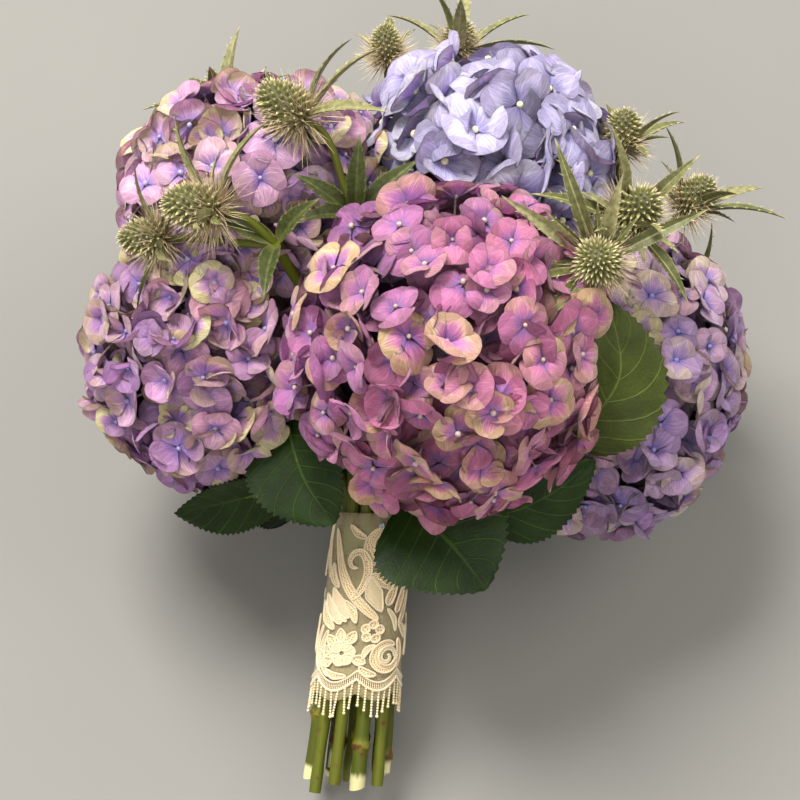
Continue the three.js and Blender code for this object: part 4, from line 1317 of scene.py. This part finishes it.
        self.heap.add(self.core, on_cone(self.core.points), (0.5, 0.5, 0.5, 0), CORE_SLOT)
        spread = sphere_directions(settings.flowers)[:, [0, 2, 1]]
        spread = spread[spread[:, 2] > -0.9]
        number = len(spread)
        foot = on_cone(spread, -0.0004)
        normal = unit((spread / [radius, radius, height / 2]) @ turned + axis * 22)
        narrow = 1 - 0.3 * smooth(0.5, 1, spread[:, 2])
        girth = FLOWER_RADIUS * scale * narrow
        tall = FLOWER_LENGTH * scale * (0.8 + 0.4 * random.random(number)) * narrow
        flowers = self.flower.points * stacked(number, girth, girth, tall)[:, None]
        frames = basis(normal, random.random(number) * 6)
        tint = stacked(number, 0, 0, 0.38 + 0.24 * random.random(number), 0)
        self.heap.add(self.flower, placed(flowers, frames, foot), tint, FLOWER_SLOT)
        self.bristles(foot[::2], normal[::2], scale, *SHORT_HAIR)
        around = random.random(settings.hairs) * FULL_TURN
        rise = random.normal(0.25, 0.5, settings.hairs)
        spokes = np.stack([np.cos(around), np.sin(around), rise], 1) @ turned
        self.bristles(at + axis * 0.003 + spokes * radius * 0.6, spokes, scale, *LONG_HAIR)

    def bristles(self, foot, heading, scale, long, girth):
        heading = unit(heading + 0.3 * self.random.normal(size=heading.shape))
        long = long * scale * (0.6 + 0.7 * self.random.random(len(foot)))
        hairs = self.spike.points * stacked(len(foot), girth, girth, long)[:, None]
        tint = stacked(len(foot), 0.5, 0.5, 0.35 + 0.3 * self.random.random(len(foot)), long)
        self.heap.add(self.spike, placed(hairs, basis(heading, 0), foot), tint, HAIR_SLOT)


# A leaf's stalk, from the stem to where it ends under the blade
PETIOLE_RADII = (0.0017, 0.0006)


class BOUQUET_OT_leaves(bpy.types.Operator):
    """Makes the toothed, veined hydrangea leaves on their stalks"""

    bl_idname = "bouquet.leaves"
    bl_label = "Leaves"

    def execute(self, context):
        leaf = model_leaf()
        place = np.clip(leaf.points[:, 1], 0, 1)
        dark = leaf_material("Hydrangea leaf, dark and leathery", "#1a2c0b", "#41581f", "#4c6230")
        light = leaf_material("Hydrangea leaf, younger and olive", "#3d4717", "#727f3a", "#5f7038")
        stalk = stem_material("Hydrangea leaf stalk")
        for name, (stem, seat, width, facing, rib) in LEAVES.items():
            line, ahead = curve_through(np.array(rib) * MM, 200)
            stations = np.linspace(0, 1, len(line))
            middle, along = (
                np.stack([np.interp(place, stations, axis) for axis in values.T], axis=1)
                for values in (line, ahead)
            )
            along = unit(along)
            side = unit(np.cross(facing, along))
            across = leaf.points[:, :1] * width * MM
            height = 0.2 * np.abs(across) + leaf.points[:, 2:] * run_of(line)[-1]
            heap = Heap()
            heap.add(leaf, middle + side * across + np.cross(along, side) * height, (0, 0, 0.5, 0))
            self.petiole(heap, stem, seat * MM, line)
            materials = [light if name in LIGHT_LEAVES else dark, stalk]
            finished(heap.piece(f"hydrangea_leaf_{name}", materials, 75), "hydrangea_leaf", f"leaf_{name}")
        return {"FINISHED"}

    def petiole(self, heap, stem, seat, line):
        bark, _ = stem_line(*STEMS[stem])
        number = np.argmax(bark[:, 1] > seat)
        tangent = unit(bark[number + 1] - bark[number])
        away = line[0] - bark[number]
        away = unit(away - tangent * (away @ tangent))
        start = bark[number] + away * (STEM_RADIUS + CLEAR)
        under = [line[int(share * (len(line) - 1))] for share in (0.02, 0.12, 0.4)]
        stalk, _ = curve_through([start, start + away * 0.005, *under], 40)
        tube(heap, stalk, np.linspace(*PETIOLE_RADII, 40), 8, (0.2, 0.1, 0.5, 0), 1)


# How far a stem swells at a node, against its radius, and over which share of its length
NODE_SWELL = 0.32
NODE_SPREAD = 0.009
STEM_SIDES = 14


class BOUQUET_OT_stems(bpy.types.Operator):
    """Makes the hydrangea stems, with their nodes, rusty marks and slanting cut ends"""

    bl_idname = "bouquet.stems"
    bl_label = "Stems"

    def execute(self, context):
        bark = stem_material("Hydrangea stem, green bark")
        for index, (name, stem) in enumerate(STEMS.items()):
            random = np.random.default_rng(500 + index)
            line, ahead = stem_line(*stem, 140)
            run = np.linspace(0, 1, len(line))
            radii = STEM_RADIUS * (0.94 - 0.06 * run + 0.03 * np.sin(run * 40 + index))
            nodes = (0.05 + 0.1 * random.random(), 0.34 + 0.05 * random.random(), 0.7)
            for node in nodes:
                radii += STEM_RADIUS * NODE_SWELL * np.exp(-(((run - node) / NODE_SPREAD) ** 2))
            # Rusty at the lowest node, pale where it is cut
            ring = np.append(np.repeat(run, STEM_SIDES), [0, 1])
            rust = 0.1 + 0.9 * np.exp(-(((ring - nodes[0]) / 0.013) ** 2))
            cut = np.exp(-((ring / (0.022 + 0.045 * random.random())) ** 2))
            heap = Heap()
            tint = stacked(len(ring), random.random(), rust, 0.25 + 0.24 * random.random(), cut)
            tube(heap, line, radii, STEM_SIDES, tint[None])
            self.cut_across(heap, ahead[0], line[0], random)
            finished(heap.piece(f"hydrangea_stem_{name}", [bark], 50), "hydrangea_stem", f"stem_{name}")
        return {"FINISHED"}

    def cut_across(self, heap, ahead, end, random):
        lean = np.array([random.random() - 0.5, 0, random.random() - 0.5]) * 0.9
        facing = unit(-ahead + lean)
        past = np.maximum((heap.points[0] - end - ahead * 0.003) @ facing, 0)
        heap.points[0] = heap.points[0] + ahead * (past / -(facing @ ahead))[:, None]


# The tape's turns round the stems, its wall, and how far its edge stands out where it lies on itself
TAPE_TURNS = 3
TAPE_WALL = 0.00045
TAPE_LAP = 0.00012


class BOUQUET_OT_tape(bpy.types.Operator):
    """Winds the waxed tape round the stems"""

    bl_idname = "bouquet.tape"
    bl_label = "Binding Tape"

    def execute(self, context):
        deselect()
        bpy.ops.mesh.primitive_cylinder_add(vertices=64, radius=1, depth=1, end_fill_type="NOTHING")
        obj = context.object
        obj.name = "floral_tape"
        with edit_mode():
            bpy.ops.mesh.subdivide(number_cuts=4)
        flat = coordinates(obj.data)
        angle = np.arctan2(flat[:, 0], flat[:, 1])
        share = flat[:, 2] + 0.5
        height = TAPE_FOOT + share * (TAPE_TOP - TAPE_FOOT)
        turn = (share * TAPE_TURNS + angle / FULL_TURN) % 1
        radius = bundle_radius(height) + CLEAR + 0.0001 + TAPE_LAP * smooth(0.0, 0.5, turn)
        place_vertices(obj, lying(round_bundle(angle, height, radius)))
        thickened(obj, TAPE_WALL, 1)
        with edit_mode():
            bpy.ops.mesh.normals_make_consistent(inside=False)
        bpy.ops.object.shade_smooth_by_angle(angle=math.radians(40))
        obj.data.materials.append(tape_material("Waxed crepe paper tape", "#4d6430", "#6f8848"))
        finished(obj, "floral_tape", "binding_tape")
        return {"FINISHED"}


# How far the net hangs below the foot of the sleeve, and the radius at which the lace is measured
NET_BELOW = 0.006
LACE_RADIUS = bundle_radius((SLEEVE_TOP + SLEEVE_FOOT) / 2) + SLEEVE_STANDOFF
GIRTH = FULL_TURN * LACE_RADIUS
# How often the motifs repeat round the sleeve
REPEATS = 2
# Wall of the net, and how far off it the cords and fillings lie, and each of the motifs that cross
NET_WALL = 0.00022
CORD_LIFT = 0.0005
FILL_LIFT = 0.00012
CROSSING_LIFT = 0.00012
SATIN_PUFF = 0.00045
# Bars between the cords of the hem, and the strands of the fringe with their beads a pitch apart
BARS = 132
BAR_RADIUS = 0.00028
STRAND_RADIUS = 0.00018
BEAD_PITCH = 1.9


def hem_droop(angle):
    """How far the scalloped hem hangs below or above its middle line."""
    return SCALLOP_DEPTH * (0.5 - np.abs(np.sin(angle * SCALLOPS / 2)))


def on_sleeve(across, above, lift):
    """A place on the lace: round the sleeve and above its foot, at a lift off the net."""
    height = SLEEVE_FOOT + np.asarray(above)
    radius = bundle_radius(height) + SLEEVE_STANDOFF + SLEEVE_THICKNESS * 0.4 + lift
    return round_bundle(np.asarray(across) / LACE_RADIUS, height, radius)


def arc(centre, radius, start, stop, end_radius=None, steps=9):
    """Points on an arc, or on a spiral if it ends at another radius, by angles in degrees."""
    angles = np.radians(np.linspace(start, stop, steps))
    reach = np.linspace(radius, radius if end_radius is None else end_radius, steps)
    return [(centre[0] + r * math.cos(a), centre[1] + r * math.sin(a)) for r, a in zip(reach, angles)]


def petals(kind, widths, centre, start, stop, angles):
    """Motifs that spread from a centre, each from one radius to another, by angles in radians."""
    return [
        (kind, widths, [(centre[0] + r * math.cos(a), centre[1] + r * math.sin(a)) for r in (start, stop)])
        for a in angles
    ]


# Motifs of the lace, in mm round the sleeve and above its foot: kind of fill, half width at the start, middle
# and end, and the middle line
MOTIFS = [
    ("net", (1.6, 2.8, 1.2), arc((8, 68), 8.2, 98, 318, steps=12)),
    ("net", (0.5, 1.9, 1.2), [
        (-5, 57.3), (-7.6, 57.6), (-9.3, 60.8), (-7.4, 64.4), (-4, 65), (-1, 61.8), (0.3, 55.9), (-1, 49.5),
        (-3.6, 44.6), (-6.6, 41.6),
    ]),
    ("net", (1.0, 2.2, 1.8), [(-20, 76), (-16.5, 66), (-13.5, 57), (-8, 47), (-0.5, 38.5), (7, 32)]),
    ("net", (0.8, 1.7, 0.8), [(-25, 80), (-26.5, 70), (-24, 60), (-21, 52)]),
    ("net", (0.7, 3.9, 0.7), [(2.2, 54), (8, 52), (14, 46.5)]),
    ("satin", (1.2, 4.2, 1.2), [(1, 53), (4, 45), (8.5, 36)]),
    ("net", (0.8, 2.3, 1.9), [(16, 49), (13.5, 44), (11.5, 39)]),
    ("net", (0.7, 1.7, 1.5), [(22, 49), (19.5, 42), (17, 35)]),
    ("net", (0.7, 1.5, 1.2), [(27, 45), (24, 37), (20, 29)]),
    ("net", (0.6, 1.6, 0.9), [(18, 58), (23, 54), (29, 54)]),
    *petals("net", (1.2, 2.3, 1.3), (5.2, 26), 1.6, 5.6, (0.3, 1.5, 2.7, 3.9, 5.2)),
    ("net", (1.2, 2.1, 1.4), arc((13.5, 13.6), 6.7, 56, 352, 5.9, 18)),
    ("satin", (0.9, 0.8, 0.5), arc((13.5, 13.6), 5.2, 352, 780, 1.2, 22)),
    ("net", (1.0, 1.6, 0.6), [(20, 22), (21.5, 15), (20.5, 8)]),
    ("satin", (0.8, 3.4, 1.6), [(-17, 47), (-13, 40), (-6.5, 33)]),
    ("satin", (0.8, 3.0, 1.4), [(-21, 44), (-17, 37), (-10, 30)]),
    ("net", (0.8, 2.6, 1.2), [(-24, 40), (-21, 33), (-14, 27)]),
    *petals("satin", (1.4, 3.3, 1.6), (-8, 15.5), 1.4, 6.2, (0.2, 1.25, 2.3, 3.35, 4.4, 5.45)),
    *petals("net", (1.0, 2.6, 0.7), (-8, 15.5), 5.4, 12, (1.1, 1.75, 2.4, 3.05, 3.7, 5.9)),
    ("satin", (0.6, 1.2, 0.5), [(12, 37), (16, 32), (17.5, 26)]),
    ("net", (0.8, 2.1, 0.7), [(-9.5, 41), (-5.5, 36.5), (-3, 30.5)]),
    ("satin", (0.5, 1.2, 0.5), [(-15, 31), (-11, 33), (-7.5, 31)]),
    ("net", (0.9, 2.3, 0.9), [(-19.5, 59), (-18.5, 52.5), (-14, 47.5)]),
    ("satin", (0.5, 1.3, 0.5), [(7, 19.5), (3.5, 17.5), (1.5, 13)]),
    ("net", (0.7, 1.7, 0.7), [(0.5, 9), (4, 6), (8.5, 5)]),
    ("net", (0.7, 1.5, 0.7), [(-15.5, 7), (-11, 4.5), (-5, 4.5)]),
    ("net", (0.7, 1.8, 0.7), [(19.5, 29.5), (23.5, 26.5), (26, 22)]),
    ("satin", (0.5, 1.2, 0.5), [(9.5, 61), (13, 57.5), (17.5, 56)]),
    ("net", (0.7, 1.6, 0.8), [(-11, 78), (-6.5, 74), (-2, 72)]),
    ("net", (0.9, 1.7, 0.8), [(-17, 26), (-19.5, 18), (-18, 10), (-14, 4)]),
    ("net", (0.7, 1.4, 0.7), [(-22, 28), (-24.5, 20), (-24, 12), (-20.5, 6)]),
    ("satin", (0.7, 1.3, 0.7), [(-28, 33), (-29.5, 24), (-28.5, 15)]),
    ("net", (0.8, 2.2, 0.8), [(27, 28), (30, 21), (28, 13)]),
    ("satin", (0.6, 2.0, 0.6), [(27, 66), (30.5, 60), (31, 52)]),
]


class BOUQUET_OT_lace(bpy.types.Operator):
    """Makes the lace sleeve: an open net with corded motifs, a scalloped border and a fringe of seed beads"""

    bl_idname = "bouquet.lace"
    bl_label = "Lace Sleeve"

    def execute(self, context):
        self.settings = context.scene.bouquet_lace
        net = self.net()
        pieces = [self.motifs(), self.fringe()]
        return {"FINISHED"}

    def net(self):
        obj, across, along = grid(120, 28)
        obj.name = "lace_net"
        angle = across * math.pi
        hem = hem_droop(angle) * 0.6 - NET_BELOW
        above = hem * (1 - along) + (SLEEVE_TOP - SLEEVE_FOOT) * along
        crease = 0.00018 * np.sin(angle * 11 + along * 3) * smooth(0, 0.2, along)
        place_vertices(obj, lying(on_sleeve(angle * LACE_RADIUS, above, crease)))
        with edit_mode():
            bpy.ops.mesh.remove_doubles(threshold=0.00005)
            bpy.ops.mesh.normals_make_consistent(inside=False)
        thickened(obj, NET_WALL, -1)
        bpy.ops.object.shade_smooth()
        # The chart of the net is 1 wide all round. Its holes are too fine to show one by one and make a veil.
        cell, thread = self.settings.net_cell / GIRTH, self.settings.net_thread / GIRTH
        obj.data.materials.append(net_material("Cotton tulle net", "#c2b28a", cell, thread, 0.08))
        return finished(obj, "lace", "lace_sleeve")

    def motifs(self):
        heap = Heap()
        for turn in range(REPEATS):
            for number, (kind, widths, way) in enumerate(MOTIFS):
                way = np.array(way) * MM + [turn * GIRTH / REPEATS, 0]
                count = max(8, int(run_of(way)[-1] / MM))
                line, ahead = curve_through(way, count)
                share = np.linspace(0, 1, count)
                half = np.interp(share, [0, 0.5, 1], np.array(widths) * MM)
                half *= np.sqrt(np.clip(1 - np.abs(2 * share - 1) ** 8, 0.02, 1))
                side = np.stack([ahead[:, 1], -ahead[:, 0]], 1)
                lift = CROSSING_LIFT * (number % 4)
                edge = side * half[:, None]
                outline = np.concatenate([line + edge, (line - edge)[::-1], (line + edge)[:1]])
                tube(heap, on_sleeve(*outline.T, CORD_LIFT + lift), self.settings.cord_radius, 6)
                self.fill(heap, kind, line, side, half, FILL_LIFT + lift)
        self.border(heap)
        # Matt raised cord, smooth raised stitches that lie straight across, and an open net of real holes
        materials = [
            thread_material("Cotton soutache cord", tuple(self.settings.cord_colour), 0.0011),
            thread_material("Cotton satin stitch", "#e8d2a8", 0.0007, 0.0),
            net_material("Cotton net filling", "#ead0a2", 0.0011, 0.0003, 0.30),
        ]
        return finished(heap.piece("lace_motifs", materials, 50), "lace")

    def fill(self, heap, kind, line, side, half, lift):
        rows, count = len(line), 7
        columns = np.linspace(-1, 1, count)
        flat = line[:, None] + side[:, None] * (half[:, None] * columns)[..., None]
        puff = SATIN_PUFF * (1 - columns**2) if kind == "satin" else 0
        top = on_sleeve(flat[..., 0], flat[..., 1], lift + puff + 0.00015)
        low = on_sleeve(flat[..., 0], flat[..., 1], lift - 0.0001)
        number = np.arange(rows * count).reshape(rows, count)
        quads = np.stack([number[:-1, :-1], number[:-1, 1:], number[1:, 1:], number[1:, :-1]], -1)
        upper = quads.reshape(-1, 4)
        lower = upper[:, ::-1] + rows * count
        rim = np.concatenate([number[:, 0], number[-1, 1:], number[-2::-1, -1], number[0, -2:0:-1]])
        following = np.roll(rim, -1)
        walls = np.stack([rim, following, following + rows * count, rim + rows * count], 1)
        faces = np.concatenate([upper, lower, walls])
        chart = np.stack([np.tile(columns * np.mean(half), rows), np.repeat(run_of(line), count)], 1)
        pattern = Pattern(faces.ravel(), np.full(len(faces), 4), np.tile(chart, (2, 1)))
        heap.add(pattern, np.concatenate([top, low]).reshape(-1, 3), slot=1 if kind == "satin" else 2)

    def border(self, heap):
        angle = np.linspace(-math.pi, math.pi, 361)
        for above, swell in ((0.0002, 1.25), (0.0042, 0.9)):
            cord = on_sleeve(angle * LACE_RADIUS, hem_droop(angle) + above, CORD_LIFT)
            tube(heap, cord[:-1], self.settings.cord_radius * swell, 6)
        for spot in np.linspace(-math.pi, math.pi, BARS, endpoint=False):
            heights = hem_droop(spot) + np.linspace(0.0003, 0.0041, 5)
            tube(heap, on_sleeve(spot * LACE_RADIUS, heights, 0.0003), BAR_RADIUS, 5, (0.5, 0.5, 0.46, 0.5))

    def fringe(self):
        heap = Heap()
        bead = model_bead(7, 5)
        random = np.random.default_rng(700)
        strands, radius = self.settings.strands, self.settings.bead_radius
        for number in range(strands):
            angle = (number + 0.5) / strands * FULL_TURN
            top = hem_droop((angle + math.pi) % FULL_TURN - math.pi)
            steps = np.arange(random.integers(8, 10) + 1)
            sway = random.normal(0, 0.0002)
            below = top - BEAD_PITCH * radius * (steps + 0.4)
            middle = on_sleeve(angle * LACE_RADIUS + sway * steps / 4, below, 0.0002)
            tube(heap, middle[:-1], STRAND_RADIUS, 5)
            size = radius * (0.92 + 0.16 * random.random((len(steps), 1, 1)))
            size[-1] *= 1.25
            tint = stacked(len(steps), 0, 0, 0.46 + 0.08 * random.random(len(steps)), 0)
            heap.add(bead, middle[:, None] + bead.points * size, tint, slot=1)
        # Smooth glass with a pearly glaze, on matt thread
        glass = Finish(
            "Pearled glass seed bead", Roughness=0.22, Coat_Weight=0.5, Specular_IOR_Level=0.6,
            Base_Color="#e0cfa4",
        ).material
        materials = [thread_material("Cotton fringe thread", "#d8c498", 0.0009), glass]
        return finished(heap.piece("bead_fringe", materials, 70), "lace")


class BOUQUET_OT_pins(bpy.types.Operator):
    """Sets the faceted crystal heads of the pins on the lace"""

    bl_idname = "bouquet.pins"
    bl_label = "Crystal Pins"

    def execute(self, context):
        # Cut lead crystal: clear and very glossy, so that its facets flash
        crystal = Finish(
            "Cut crystal", Roughness=0.03, IOR=1.6, Base_Color="#f6f9ff", Transmission_Weight=0.75,
            Specular_IOR_Level=0.9, Coat_Weight=0.6,
        ).material
        for number, (bearing, height) in enumerate(PINS, 1):
            deselect()
            bpy.ops.mesh.primitive_uv_sphere_add(segments=8, ring_count=5, radius=PIN_RADIUS)
            obj = context.object
            obj.name = f"crystal_head_{number}"
            with edit_mode():
                bpy.ops.mesh.bevel(offset=PIN_RADIUS * 0.12, segments=1)
            turn = np.array(Matrix.Rotation(math.radians(bearing), 3, "Y"))
            points = coordinates(obj.data) * [1, 1, 0.8]
            place_vertices(obj, lying(points @ turn.T + np.array(pin_place(bearing, height))))
            obj.data.materials.append(crystal)
            finished(obj, "crystal", f"crystal_pin_{number}")
        return {"FINISHED"}


# Where the lights stand, and how wide they are
LIGHTS = {
    "key_light": ((-0.9, 1.2, 2.7), 1.3),
    "right_fill": ((1.5, 0.2, 1.9), 1.4),
    "low_fill": ((-0.5, -1.6, 1.8), 1.4),
}
LIGHT_AIM = Vector((0, 0, 0.1))
LIGHT_COLOUR = (1.0, 0.965, 0.93)
SURROUND_COLOUR = (1.0, 0.985, 0.965, 1.0)
SURROUND_STRENGTH = 0.46
# The camera in the bouquet's own frame, a metre off, and half the angle that it sees
CAMERA = Vector((0.0125, 0.0525, 1.0))
HALF_VIEW = math.radians(11.3)


class BOUQUET_OT_stage(bpy.types.Operator):
    """Adds the plain pale floor, the soft studio light and the camera that looks down on the bouquet"""

    bl_idname = "bouquet.stage"
    bl_label = "Stage"

    def execute(self, context):
        settings = context.scene.bouquet_stage
        deselect()
        bpy.ops.mesh.primitive_plane_add(size=12, location=(0, 0, 0))
        floor = context.object
        floor.name = "studio_floor"
        floor.data.materials.append(floor_material("Matt painted floor", tuple(settings.floor_colour)))
        for name, (at, size) in LIGHTS.items():
            bpy.ops.object.light_add(type="AREA", location=at)
            light = context.object
            light.name = name
            light.data.size = size
            light.data.energy = settings.key_power if name == "key_light" else settings.fill_power
            light.data.color = LIGHT_COLOUR
            light.rotation_euler = (LIGHT_AIM - Vector(at)).to_track_quat("-Z", "Y").to_euler()
        world = bpy.data.worlds.new("Soft studio surround")
        world.use_nodes = True
        background = world.node_tree.nodes["Background"]
        background.inputs["Color"].default_value = SURROUND_COLOUR
        background.inputs["Strength"].default_value = SURROUND_STRENGTH
        context.scene.world = world
        context.scene.view_settings.view_transform = "Standard"
        bpy.ops.object.camera_add()
        camera = context.object
        camera.data.sensor_width = 36
        camera.data.lens = camera.data.sensor_width / 2 / math.tan(HALF_VIEW)
        camera.data.clip_start = 0.05
        camera.matrix_world = LAYING @ Matrix.Translation(CAMERA)
        context.scene.camera = camera
        return {"FINISHED"}


class BOUQUET_PT_panel(bpy.types.Panel):
    """Lists the bouquet's pieces"""

    bl_idname = "BOUQUET_PT_panel"
    bl_label = "Bridal Bouquet"
    bl_space_type = "VIEW_3D"
    bl_region_type = "UI"
    bl_category = "Bouquet"

    def draw(self, context):
        for operator in OPERATORS:
            self.layout.operator(operator.bl_idname)
        for group in GROUPS:
            settings = getattr(context.scene, group)
            for name in settings.bl_rna.properties.keys():
                if name not in ("rna_type", "name"):
                    self.layout.prop(settings, name)


OPERATORS = (
    BOUQUET_OT_stage, BOUQUET_OT_blooms, BOUQUET_OT_eryngium, BOUQUET_OT_leaves, BOUQUET_OT_stems,
    BOUQUET_OT_tape, BOUQUET_OT_lace, BOUQUET_OT_pins,
)
GROUPS = {
    "bouquet_blooms": BloomSettings, "bouquet_eryngium": EryngiumSettings, "bouquet_lace": LaceSettings,
    "bouquet_stage": StageSettings,
}


def register():
    for group, settings in GROUPS.items():
        bpy.utils.register_class(settings)
        setattr(bpy.types.Scene, group, bpy.props.PointerProperty(type=settings))
    for made in (*OPERATORS, BOUQUET_PT_panel):
        bpy.utils.register_class(made)


def unregister():
    for made in (BOUQUET_PT_panel, *reversed(OPERATORS)):
        bpy.utils.unregister_class(made)
    for group, settings in GROUPS.items():
        delattr(bpy.types.Scene, group)
        bpy.utils.unregister_class(settings)


def main():
    register()
    for operator in OPERATORS:
        space, name = operator.bl_idname.split(".")
        getattr(getattr(bpy.ops, space), name)()
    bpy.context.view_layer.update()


if __name__ == "__main__":
    main()
